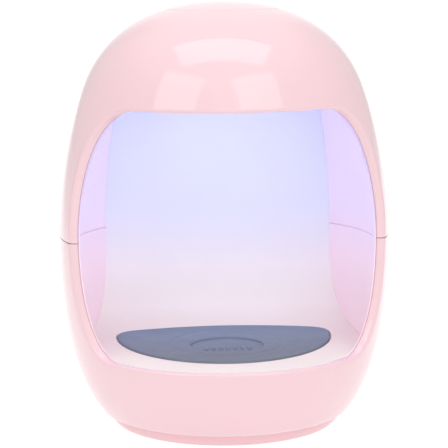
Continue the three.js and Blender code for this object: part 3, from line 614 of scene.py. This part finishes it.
def liner_end(flat_z, ring_z, depth, corner, count=8):
    """From the ring, round a corner and across a flat face to the axis."""
    r = float(radius(depth, flat_z))
    start = (float(radius(depth, ring_z)), ring_z)
    flat = [(r * w, flat_z) for w in np.linspace(0.94, 0, count)]
    bend = fillet(start, (r, flat_z), (0, flat_z), corner, 7)
    return np.vstack([start, bend, flat])


liner_low_seam = high("lower_liner").z - 0.35 * MM
liner_up_seam = liner_low_seam + 0.14 * MM
liner_rim = (0.02 * MM, 0.05 * MM)
ceiling_top = CEILING_Z + 1 * MM
shelf_top = SHELF_Z + 0.9 * MM


def liner_half(name, node, upper, seam_z, ring_z, outer_z, inner_z, rows):
    """One half of the liner, closed by a flat wall between outer_z and inner_z."""
    half = hollow_half(edge_columns(upper, LINER_SETBACK, seam_z), LINER_OUTSIDE, LINER_INSIDE,
                       ring_z, liner_end(outer_z, ring_z, LINER_OUTSIDE, 0.3 * MM),
                       liner_end(inner_z, ring_z, LINER_INSIDE, 0.35 * MM)[::-1],
                       rim=liner_rim, seam=0.05 * MM, rows=rows, closed=False,
                       rim_inside=LINER_RIM_INSIDE)
    return piece(name, [half], liner_white, stands_for=[node])


liner_upper = liner_half("liner_upper", "upper_liner", True, liner_up_seam, LINER_TOP_RING_Z,
                         ceiling_top, CEILING_Z, 22)
liner_lower = liner_half("liner_lower", "lower_liner", False, liner_low_seam, LINER_LOW_RING_Z,
                         SHELF_Z, shelf_top, 18)


def rear_cutter():
    """What the panel covers is cut away behind it."""
    box = block((-40 * MM, 19.3 * MM, 0), (40 * MM, 40 * MM, 80 * MM))
    return piece("rear_cutter", [box], None)


def led_places():
    for name in ("left", "middle", "right"):
        a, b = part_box("led_lens_" + name)
        yield name, (a.x + b.x) / 2, (a.y + b.y) / 2


CUP_RIM_RADIUS = 4.75 * MM
CUP_HOLE_RADIUS = 3 * MM
cup_profile = [(0, CEILING_Z - 1 * MM), (CUP_RIM_RADIUS, CEILING_Z - 1 * MM),
               (CUP_RIM_RADIUS, CEILING_Z - 0.02 * MM), (4.5 * MM, CEILING_Z + 0.06 * MM),
               (CUP_HOLE_RADIUS, ceiling_top - 0.2 * MM), (CUP_HOLE_RADIUS, ceiling_top + 1 * MM),
               (0, ceiling_top + 1 * MM)]
cups = [piece("cup_" + name, [lathe(cup_profile, (x, y), 48)], None) for name, x, y in led_places()]
cut(liner_upper, cups + [rear_cutter()])
cut(liner_lower, [rear_cutter()])


# ---------------------------------------------------------------- reflector panel and pad

# The panel's front face seen from the side, as (y, z), from the floor's front to the top.
PANEL_BACK = (17.6 * MM, 36 * MM)
PANEL_FRONT = 28 * MM
face = joined(
    spread(np.array([(-PANEL_FRONT, FLOOR_Z), (1 * MM, FLOOR_Z)]), 60),
    bezier([(1 * MM, FLOOR_Z), (11.5 * MM, FLOOR_Z), (PANEL_BACK[0], 18 * MM), PANEL_BACK], 200),
    bezier([PANEL_BACK, (PANEL_BACK[0], 46 * MM), (16 * MM, 56 * MM), (14.2 * MM, 62.3 * MM)], 200),
)
FACE_RUN = lengths(face)
FACE_WAY = tangents(face)
PANEL_THICKNESS = 1.5 * MM


def on_panel(x, along, above):
    """The point at x and that far along the face from y = 0, raised above it."""
    run = np.asarray(along) + PANEL_FRONT
    y = np.interp(run, FACE_RUN, face[:, 0])
    z = np.interp(run, FACE_RUN, face[:, 1])
    way = np.column_stack([np.interp(run, FACE_RUN, FACE_WAY[:, k]) for k in (0, 1)])
    way /= np.linalg.norm(way, axis=1)[:, None]
    return np.column_stack(
        [np.broadcast_to(x, y.shape), y - above * way[:, 1], z + above * way[:, 0]])


def panel_outline(count):
    """The panel's edge, unrolled as (x, along), starting at the middle of its front."""
    turn = np.linspace(0, math.pi / 2, 120)
    # The inset grows from the rim's to the wall's between 35 and 80 degrees from the front.
    wide = np.clip((np.degrees(turn) - 35) / 45, 0, 1)
    front_inset = LINER_RIM_INSIDE + 0.12 * MM
    deep = front_inset + (PANEL_INSET - front_inset) * wide
    reach = radius(deep, np.full(len(turn), FLOOR_Z))
    arc = np.column_stack([reach * np.sin(turn), -reach * np.cos(turn)])
    run = np.linspace(0, FACE_RUN[-1] - PANEL_FRONT, 300)[1:]
    y = np.interp(run + PANEL_FRONT, FACE_RUN, face[:, 0])
    z = np.interp(run + PANEL_FRONT, FACE_RUN, face[:, 1])
    half = np.sqrt(np.maximum(radius(PANEL_INSET, z) ** 2 - y**2, 0))
    top = np.column_stack([np.linspace(half[-1], 0, 40)[1:], np.full(39, run[-1])])
    right = spread(np.vstack([arc, np.column_stack([half, run]), top]), count // 2 + 1)
    return np.vstack([right, right[-2:0:-1] * (-1, 1)])


def pad_outline(grow):
    """The pad's edge, unrolled like the panel's: half an ellipse, two corners and a flat arc."""
    wide = PAD_HALF_WIDTH + grow
    reach = PAD_WIDEST_ALONG - PAD_FRONT_ALONG + grow
    run_back = PAD_BACK_ALONG + grow
    drop = PAD_BACK_RADIUS - math.sqrt(PAD_BACK_RADIUS**2 - PAD_CORNER_X**2)
    rear = (PAD_CORNER_X, run_back - drop)
    turn = np.linspace(-math.pi / 2, 0, 120)
    arc = np.column_stack([wide * np.cos(turn), PAD_WIDEST_ALONG + reach * np.sin(turn)])
    bend = bezier([(wide, PAD_WIDEST_ALONG), (wide, PAD_WIDEST_ALONG + 1.3 * MM),
                   (PAD_CORNER_X + 2.4 * MM + grow, rear[1] - 0.37 * MM), rear], 60)
    back = np.column_stack(
        [np.linspace(rear[0], 0, 60), run_back - drop * np.linspace(1, 0, 60) ** 2])
    right = joined(arc, bend, back)
    return np.vstack([right, right[-2:0:-1] * (-1, 1)])


def toward(loop, centre, directions):
    """Where rays from the centre meet a loop around it."""
    offset = loop - centre
    angle = np.arctan2(offset[:, 1], offset[:, 0])
    order = np.argsort(angle)
    reach = np.hypot(offset[:, 0], offset[:, 1])[order]
    distance = np.interp(directions, angle[order], reach, period=2 * math.pi)
    return centre + distance[:, None] * np.column_stack([np.cos(directions), np.sin(directions)])


def along_at(y):
    """How far along the face a point of the floor at that y is."""
    return float(np.interp(y, face[:200, 0], FACE_RUN[:200])) - PANEL_FRONT


PAD_HALF_WIDTH = high("silicone_pad").x
PAD_FRONT_ALONG = along_at(low("silicone_pad").y)
PAD_WIDEST_ALONG = along_at(4.4 * MM)
PAD_BACK_ALONG = along_at(high("silicone_pad").y)
PAD_BACK_RADIUS = 110 * MM
PAD_CORNER_X = 17 * MM
PAD_PROUD = 0.25 * MM
PAD_ROUNDING = 0.4 * MM
POCKET_DEPTH = 0.8 * MM
POCKET_GAP = 0.25 * MM
POCKET_LIP = 0.18 * MM
PAD_CENTRE = np.array((0, -6 * MM))
AROUND = 260

panel_edge = panel_outline(AROUND)
rays = np.arctan2(panel_edge[:, 1] - PAD_CENTRE[1], panel_edge[:, 0] - PAD_CENTRE[0])


def shrunk(loop, depth):
    """The loop moved towards its middle along its own normals."""
    way = np.roll(loop, -1, 0) - np.roll(loop, 1, 0)
    way /= np.linalg.norm(way, axis=1)[:, None]
    return loop + depth * np.column_stack([-way[:, 1], way[:, 0]])


def panel_rows():
    pocket = toward(pad_outline(POCKET_GAP), PAD_CENTRE, rays)
    lip = toward(pad_outline(POCKET_GAP + POCKET_LIP), PAD_CENTRE, rays)
    rows = []
    for w in np.linspace(0.02, 1, 8):
        rows.append((PAD_CENTRE + (pocket - PAD_CENTRE) * w, -POCKET_DEPTH))
    rows.append((pocket, -0.2 * MM))
    rows.append((pocket * 0.92 + lip * 0.08, -0.08 * MM))
    rows.append((pocket * 0.6 + lip * 0.4, -0.02 * MM))
    rows.append((lip, 0))
    edge = shrunk(panel_edge, 0.15 * MM)
    for k in range(1, 61):
        w = (k / 60) ** 1.15
        rows.append((lip * (1 - w) + edge * w, 0))
    rows.append((shrunk(panel_edge, 0.05 * MM), -0.04 * MM))
    rows.append((panel_edge, -0.15 * MM))
    under = shrunk(panel_edge, 0.9 * MM)
    rows.append((shrunk(panel_edge, 0.8 * MM), -PANEL_THICKNESS + 0.1 * MM))
    rows.append((under, -PANEL_THICKNESS))
    for w in np.linspace(0, 1, 40)[1:]:
        back = under + (PAD_CENTRE - under) * w * 0.98
        rows.append((back, -PANEL_THICKNESS))
    return [on_panel(loop[:, 0], loop[:, 1], above) for loop, above in rows]


piece("reflector", [loft(panel_rows(), start_cap=True, end_cap=True)], panel_white,
      stands_for=["reflector_panel"])

RING_RADIUS = 6.95 * MM
RING_DEPTH = 0.36 * MM
DISH_CENTRE = np.array((0, -4.2 * MM))
DISH_RADIUS = 10.6 * MM
RIB_PITCH = 1.35 * MM
RIB_HALF_LENGTH = 0.42 * MM
RIB_HALF_WIDTH = 1.7 * MM
RIB_RISE = 0.24 * MM


def pad_rows():
    """The pad's top from its middle outwards, its edge, and its underside back to the middle."""
    turn = np.linspace(0, 2 * math.pi, 200, endpoint=False)
    unit = np.column_stack([np.cos(turn), np.sin(turn)])
    outline = toward(pad_outline(0), PAD_CENTRE, turn)
    dish = toward(DISH_CENTRE + DISH_RADIUS * unit, PAD_CENTRE, turn)
    ring = PAD_CENTRE + RING_RADIUS * unit
    rows = [(PAD_CENTRE + (ring - PAD_CENTRE) * w, PAD_PROUD - RING_DEPTH)
            for w in (0.02, 0.3, 0.6, 0.85)]
    rows += [(PAD_CENTRE + (RING_RADIUS - back * MM) * unit, PAD_PROUD - RING_DEPTH + up * MM)
             for back, up in ((0.3, 0), (0.16, -0.03), (0.06, 0.0), (0.02, 0.1), (0.0, 0.27),
                              (-0.05, 0.335), (-0.16, 0.36))]
    for w in (0.35, 0.7):
        rows.append((ring * (1 - w) + dish * w, PAD_PROUD))
    rows += [(dish + off * MM * unit, PAD_PROUD - down * MM)
             for off, down in ((-0.3, 0), (-0.12, 0.04), (0, 0.07), (0.12, 0.04), (0.3, 0))]
    edge = shrunk(outline, PAD_ROUNDING)
    for w in np.linspace(0, 1, 10)[1:]:
        rows.append(((dish + 0.3 * MM * unit) * (1 - w) + edge * w, PAD_PROUD))
    for t in np.linspace(0, math.pi / 2, 6)[1:]:
        rows.append((shrunk(outline, PAD_ROUNDING * (1 - math.sin(t))),
                     PAD_PROUD - PAD_ROUNDING * (1 - math.cos(t))))
    rows.append((outline, 0.15 * MM - POCKET_DEPTH + 0.1 * MM))
    bottom = shrunk(outline, 0.15 * MM)
    rows.append((bottom, 0.1 * MM - POCKET_DEPTH))
    for w in (0.3, 0.6, 0.85, 0.98):
        rows.append((bottom * (1 - w) + PAD_CENTRE * w, 0.1 * MM - POCKET_DEPTH))
    return [on_panel(loop[:, 0], loop[:, 1], above) for loop, above in rows]


def grip_rib(x, y):
    """A low oval rib that stands inside the pad's ring."""
    turn = np.linspace(0, 2 * math.pi, 20, endpoint=False)
    rows = []
    for scale, up in ((1, -0.1 * MM), (1, 0.02 * MM), (0.9, RIB_RISE * 0.6),
                      (0.6, RIB_RISE * 0.93)):
        across = x + scale * RIB_HALF_LENGTH * np.cos(turn)
        along = y + scale * RIB_HALF_WIDTH * np.sin(turn)
        rows.append(on_panel(across, along, np.full(len(turn), PAD_PROUD - RING_DEPTH + up)))
    return loft(rows, start_cap=True, end_cap=True)


ribs = [grip_rib(k * RIB_PITCH, PAD_CENTRE[1] - 1.6 * MM) for k in range(-3, 4)]
piece("finger_pad", [loft(pad_rows(), start_cap=True, end_cap=True)] + ribs, pad_silicone,
      body="pad", stands_for=["silicone_pad"])


# ---------------------------------------------------------------- button

button_top = egg_arc(0, height_at(0, BUTTON_RADIUS - 0.12 * MM), HEIGHT, 26)[::-1]
button_edge_z = height_at(0, BUTTON_RADIUS)
flange_low = low("power_button").z
flange_top = flange_low + 0.8 * MM
flange_radius = high("power_button").x
skirt_radius = BUTTON_RADIUS - 1.2 * MM
button_profile = np.vstack([
    button_top,
    rounded([button_top[-1], (BUTTON_RADIUS, button_edge_z), (BUTTON_RADIUS, flange_top),
             (flange_radius, flange_top), (flange_radius, flange_low),
             (skirt_radius, flange_low), (skirt_radius, button_edge_z - 1.4 * MM),
             (0, button_edge_z - 1.2 * MM)],
            [0, 0.1 * MM, 0.15 * MM, 0.15 * MM, 0.15 * MM, 0.15 * MM, 0.4 * MM, 0])[1:],
])
piece("button_cap", [lathe(button_profile, around=120)], shell_pink, body="button",
      stands_for=["power_button"])


# ---------------------------------------------------------------- base

base_low = 0.03 * MM
base_top = BOWL_BOTTOM_Z - 0.04 * MM
recess_radius = 18.9 * MM
recess_z = 1.1 * MM
foot_top_radius = 22.5 * MM
spigot_radius = 15.7 * MM
spigot_top = 3 * MM
base_rows = rounded(
    [(0, recess_z), (recess_radius, recess_z), (recess_radius, base_low), (FOOT_RADIUS, base_low),
     (FOOT_RADIUS + 0.8 * MM, 0.9 * MM), (foot_top_radius, base_top), (spigot_radius, base_top),
     (spigot_radius, spigot_top), (0, spigot_top)],
    [0, 0.2 * MM, 0.2 * MM, 0.16 * MM, 0.5 * MM, 0.12 * MM, 0.1 * MM, 0.2 * MM, 0])
base = piece("base_ring", [lathe(base_rows, around=160)], base_pink, stands_for=["base_plate"])
BASE_SCREWS = ("front", "left", "right")
screw_spots = [middle("base_screw_" + name) for name in BASE_SCREWS]
well_radius, well_top = 2.2 * MM, 1.5 * MM
shank_hole_radius, shank_hole_top = 1.1 * MM, 3.5 * MM
well_profile = [(0, 0), (well_radius, 0), (well_radius, well_top), (shank_hole_radius, well_top),
                (shank_hole_radius, shank_hole_top), (0, shank_hole_top)]
cut(base, [piece("well", [lathe(well_profile, (spot.x, spot.y), 40)], None)
           for spot in screw_spots])

disc_top = high("anti_slip_disc").z
disc_radius = high("anti_slip_disc").x
groove_radii = (6.5, 8.6, 10.7, 12.8, 16.9)
groove_section = ((-0.45, 0), (-0.3, 0.16), (0, 0.24), (0.3, 0.16), (0.45, 0))
grooves = [((r + off) * MM, up * MM) for r in groove_radii for off, up in groove_section]
disc_edge = rounded(
    [(disc_radius - 1 * MM, 0), (disc_radius, 0), (disc_radius, disc_top), (0, disc_top)],
    [0, 0.3 * MM, 0.15 * MM, 0])
disc = piece("anti_slip_pad", [lathe(np.vstack([[(0, 0)], grooves, disc_edge]), around=128)],
             disc_rubber, stands_for=["anti_slip_disc"])
hole_radius = 2.5 * MM
hole_profile = [(0, -1 * MM), (hole_radius, -1 * MM), (hole_radius, 2 * MM), (0, 2 * MM)]
cut(disc, [piece("hole", [lathe(hole_profile, (spot.x, spot.y), 48)], None)
           for spot in screw_spots])


# ---------------------------------------------------------------- screws

SCREW_HEAD = 1.9 * MM
SCREW_HEAD_HEIGHT = 1.1 * MM
SCREW_SHANK = 0.85 * MM
THREAD_PITCH = 0.4 * MM
CROSS_LONG = 1.05 * MM
CROSS_SHORT = 0.23 * MM
CROSS_DEPTH = 0.6 * MM


def cross_screw(name, node, spot, up, head_z, length, flat=False):
    """A screw whose head faces up (1) or down (-1). head_z is where its head rests."""
    head, shank = SCREW_HEAD, SCREW_SHANK
    if flat:
        profile = [(0, -length), (shank * 0.4, -length), (shank, -length + 1 * MM),
                   (shank, -0.9 * MM), (head - 0.08 * MM, -0.06 * MM), (head - 0.1 * MM, 0), (0, 0)]
        top = 0
    else:
        dome = [(head * math.cos(t), 0.35 * MM + 0.75 * MM * math.sin(t))
                for t in np.linspace(0, math.pi / 2, 8)]
        ridges = []
        for k in range(int((length - 1.2 * MM) / THREAD_PITCH)):
            z = -length + 1 * MM + k * THREAD_PITCH
            ridges += [(shank, z), (shank * 0.78, z + THREAD_PITCH / 2)]
        profile = [(0, -length), (shank * 0.3, -length), *ridges, (shank, -0.15 * MM), (shank, 0),
                   (head - 0.1 * MM, 0), (head, 0.1 * MM), *dome]
        top = SCREW_HEAD_HEIGHT
    points, faces = lathe(profile, around=40)
    screw = piece(name, [([(x, y, z * up) for x, y, z in points], faces)], None)
    slots = []
    low_z, high_z = sorted(((top - CROSS_DEPTH) * up, (top + 1 * MM) * up))
    for x, y in ((CROSS_SHORT, CROSS_LONG), (CROSS_LONG, CROSS_SHORT)):
        slots.append(piece("slot", [block((-x, -y, low_z), (x, y, high_z))], None))
    cut(screw, slots)
    for vertex in screw.data.vertices:
        vertex.co += Vector((spot.x, spot.y, head_z))
    dress(screw, screw_steel, "housing", [node])


def hanging_screw(name, node):
    """A domed screw whose head faces down."""
    head_z = low(node).z + SCREW_HEAD_HEIGHT
    length = high(node).z - low(node).z - SCREW_HEAD_HEIGHT
    cross_screw(name, node, middle(node), -1, head_z, length)


for side in BASE_SCREWS:
    hanging_screw("screw_base_" + side, "base_screw_" + side)
for side in ("left", "right"):
    node = "liner_floor_screw_" + side
    cross_screw("screw_floor_" + side, node, middle(node), 1, high(node).z,
                high(node).z - low(node).z, flat=True)
    hanging_screw("screw_ceiling_" + side, "liner_screw_" + side)


# ---------------------------------------------------------------- LEDs

SEAT_RADIUS = 2.9 * MM
SEAT_DEPTH = 0.5 * MM
LENS_DEPTH = 0.45 * MM
for name, x, y in led_places():
    body_low, body_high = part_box("led_body_" + name)
    lens_low, lens_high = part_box("led_lens_" + name)
    lens_r = (lens_high.x - lens_low.x) / 2
    body_r = (body_high.x - body_low.x) / 2
    rim_z = body_low.z
    body_profile = rounded(
        [(0, rim_z + SEAT_DEPTH), (SEAT_RADIUS, rim_z + SEAT_DEPTH), (SEAT_RADIUS, rim_z),
         (body_r, rim_z), (body_r, body_high.z), (0, body_high.z)],
        [0, 0.1 * MM, 0.15 * MM, 0.4 * MM, 0.2 * MM, 0])
    piece("bead_" + name, [lathe(body_profile, (x, y), 64)], led_white,
          stands_for=["led_body_" + name])
    drop = rim_z - lens_low.z
    dome = [(lens_r * math.sin(t), rim_z + LENS_DEPTH - (drop + LENS_DEPTH) * math.cos(t))
            for t in np.linspace(0, math.pi / 2, 16)]
    lens_profile = [*dome, (lens_r * 0.9, rim_z + 0.49 * MM), (0, rim_z + 0.49 * MM)]
    piece("bead_lens_" + name, [lathe(lens_profile, (x, y), 64)], lens_clear,
          stands_for=["led_lens_" + name])


# ---------------------------------------------------------------- USB socket

USB_WALL = 0.3 * MM
usb_section = (
    (0, usb_low.y), (0, usb_high.y - 0.15 * MM), (0.05 * MM, usb_high.y - 0.04 * MM),
    (0.13 * MM, usb_high.y), (0.2 * MM, usb_high.y), (0.27 * MM, usb_high.y - 0.06 * MM),
    (USB_WALL, usb_high.y - 0.2 * MM), (USB_WALL, usb_low.y))
usb_rows = [stadium_loop(USB_W - 2 * inset_by, USB_H - 2 * inset_by, y, USB_Z)
            for inset_by, y in usb_section]
piece("usb_shell", [loft(usb_rows, closed=True)], usb_steel, stands_for=["usb_socket_shell"])

tongue_low, tongue_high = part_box("usb_socket_tongue")
tongue_y = tongue_low.y + 0.8 * MM
TONGUE_HALF = 0.35 * MM
CONTACT_PITCH = 0.66 * MM
CONTACT_HALF_WIDTH = 0.16 * MM
CONTACT_RISE = 0.03 * MM
tongue = [
    block(tongue_low, (tongue_high.x, tongue_y + 0.6 * MM, tongue_high.z), 0.1 * MM),
    block((tongue_low.x, tongue_y, USB_Z - TONGUE_HALF),
          (tongue_high.x, tongue_high.y, USB_Z + TONGUE_HALF), 0.12 * MM),
]
piece("usb_tongue", tongue, usb_black, stands_for=["usb_socket_tongue"])
contacts = []
for k in range(8):
    x = (k - 3.5) * CONTACT_PITCH
    for side in (-1, 1):
        z = USB_Z + side * TONGUE_HALF
        low_z, high_z = sorted((z, z + side * CONTACT_RISE))
        contacts.append(block((x - CONTACT_HALF_WIDTH, tongue_y + 0.9 * MM, low_z),
                              (x + CONTACT_HALF_WIDTH, tongue_high.y - 0.5 * MM, high_z)))
contact_gold = surface_material("contact_gold", (0.85, 0.62, 0.28), 0.25, vary=0.05, patch=2000,
                                metallic=1.0)
piece("usb_contacts", contacts, contact_gold)


# ---------------------------------------------------------------- parts carried over from the frame

CARRIED = {
    "led_board": board_white, "switch_board": board_green, "main_board": board_green,
    "switch_body": switch_black, "switch_plunger": switch_black, "controller_chip": chip_black,
    "power_inductor": ferrite_grey, "filter_capacitor": can_aluminium,
    "wire_connector": connector_white,
    "led_wire_red": WIRES["wire_red"], "led_wire_black": WIRES["wire_black"],
    "switch_wire_yellow": WIRES["wire_yellow"], "switch_wire_white": WIRES["wire_white"],
}
for name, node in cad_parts.items():
    if node.hide_render:
        continue
    material = CARRIED.get(name, screw_steel)
    node.data.materials.clear()
    node.data.materials.append(material)
    smooth(node.data, 35)


# ---------------------------------------------------------------- studio

scene = bpy.context.scene
scene.view_settings.view_transform = "Standard"
scene.view_settings.look = "None"

world = bpy.data.worlds.new("studio")
scene.world = world
world.use_nodes = True


def math_node(tree, operation, first, second=0.0):
    """A Math node whose two inputs are sockets or plain numbers."""
    node = tree.nodes.new("ShaderNodeMath")
    node.operation = operation
    for socket, value in zip(node.inputs, (first, second)):
        if isinstance(value, float):
            socket.default_value = value
        else:
            tree.links.new(value, socket)
    return node.outputs[0]


def off_middle(tree, source, middle_value):
    """How far a value is from the middle value, on either side."""
    return math_node(tree, "ABSOLUTE", math_node(tree, "SUBTRACT", source, middle_value))


def eased(socket):
    socket.node.interpolation_type = "SMOOTHSTEP"
    return socket


def light_tent(tree, bright, side):
    """White surroundings that are dimmer low down on the left and the right."""
    background = tree.nodes["Background"]
    background.inputs["Color"].default_value = (1, 1, 1, 1)
    place = tree.nodes.new("ShaderNodeTexCoord")
    parts = tree.nodes.new("ShaderNodeSeparateXYZ")
    tree.links.new(place.outputs["Generated"], parts.inputs["Vector"])
    across = off_middle(tree, parts.outputs["X"], 0.065)
    sideways = eased(spread_values(tree, across, 0, 1, 0.13, 0.42))
    downward = eased(spread_values(tree, parts.outputs["Z"], 1, 0, 0.5, 0.9))
    both = math_node(tree, "MULTIPLY", sideways, downward)
    tree.links.new(spread_values(tree, both, bright, side, 0, 1), background.inputs["Strength"])


light_tent(world.node_tree, 1.05, 0.68)


def floor_plane(size=12.0, drop=0.05 * MM):
    """A pale floor that glows with painted light of its own, brightest in a band behind the object
    and dimmer to both sides; the glow keeps the shadow under the object faint.
    """
    mesh = bpy.data.meshes.new("studio_floor")
    mesh.from_pydata([(-size, -size, 0), (size, -size, 0), (size, size, 0), (-size, size, 0)], [],
                     [(0, 1, 2, 3)])
    obj = bpy.data.objects.new("studio_floor", mesh)
    scene.collection.objects.link(obj)
    mat, tree, bsdf, place = new_material("floor_white")
    shades = ramp(tree, noise(tree, place, 3, 2),
                  [(0, (0.34, 0.34, 0.34)), (1, (0.38, 0.38, 0.38))])
    tree.links.new(shades, bsdf.inputs["Base Color"])
    bsdf.inputs["Roughness"].default_value = 0.9
    bsdf.inputs["Specular IOR Level"].default_value = 0.0
    bsdf.inputs["Emission Color"].default_value = (1, 1, 1, 1)
    parts = tree.nodes.new("ShaderNodeSeparateXYZ")
    tree.links.new(place.outputs["Object"], parts.inputs["Vector"])
    across = off_middle(tree, parts.outputs["X"], 0.06)
    half_band = spread_values(tree, parts.outputs["Y"], 0.1, 1.2, 0, 4)
    beyond = math_node(tree, "SUBTRACT", across, half_band)
    glow = eased(spread_values(tree, beyond, 0.8, 0.45, 0, 0.16))
    tree.links.new(glow, bsdf.inputs["Emission Strength"])
    mesh.materials.append(mat)
    obj.location.z = -drop


floor_plane()


def aimed(obj, place, target, roll=0.0):
    obj.location = place
    way = Vector(target) - Vector(place)
    obj.rotation_euler = way.to_track_quat("-Z", "Y").to_euler()
    if roll:
        obj.rotation_euler.rotate_axis("Z", roll)


def softbox(name, azimuth, elevation, size_x, size_y, brightness, target=(0, -0.02, 0.068),
            distance=1.0):
    """A lamp seen from the object at that azimuth (from the front) and elevation.

    Its brightness is a multiple of the white surroundings.
    """
    data = bpy.data.lights.new(name, "AREA")
    data.shape = "RECTANGLE"
    data.size = size_x
    data.size_y = size_y
    data.energy = brightness * math.pi * (size_x * size_y)
    obj = bpy.data.objects.new(name, data)
    scene.collection.objects.link(obj)
    a, e = math.radians(azimuth), math.radians(elevation)
    way = Vector((math.sin(a) * math.cos(e), -math.cos(a) * math.cos(e), math.sin(e)))
    aimed(obj, Vector(target) + way * distance, target)


softbox("key_overhead", -4, 83, 1.0, 0.5, 1.65)
softbox("key_left", -46, 38, 0.57, 0.48, 1.45)
softbox("key_right", 29, 39, 0.57, 0.48, 1.45)

LED_LIGHT_SIZE = 8 * MM
LED_LIGHT_Z = 61 * MM
LED_AIM_Z = 20 * MM
LED_AIM_BACK = 8 * MM
LED_SPREAD = 1.6
LED_POWER = 0.0006
LED_COLOUR = (0.97, 0.92, 0.9)


def led_light(name, x, y):
    """The light of one LED, aimed down, outwards and a little to the back."""
    data = bpy.data.lights.new(name, "AREA")
    data.shape = "DISK"
    data.size = LED_LIGHT_SIZE
    data.energy = LED_POWER
    data.color = LED_COLOUR
    obj = bpy.data.objects.new(name, data)
    scene.collection.objects.link(obj)
    aimed(obj, (x, y, LED_LIGHT_Z), (x * LED_SPREAD, y + LED_AIM_BACK, LED_AIM_Z))


for name, x, y in led_places():
    led_light("led_light_" + name, x, y)


# ---------------------------------------------------------------- camera

CAMERA_PLACE = (-21.85 * MM, -325.35 * MM, 88.40 * MM)
CAMERA_TARGET = (0, 0, 37.71 * MM)
CAMERA_ROLL = -0.49
CAMERA_LENS = 138.64
camera_data = bpy.data.cameras.new("camera")
camera_data.sensor_width = 36
camera_data.lens = CAMERA_LENS
camera_data.clip_start = 0.01
camera_data.clip_end = 50
camera = bpy.data.objects.new("camera", camera_data)
scene.collection.objects.link(camera)
aimed(camera, CAMERA_PLACE, CAMERA_TARGET, math.radians(CAMERA_ROLL))
scene.camera = camera
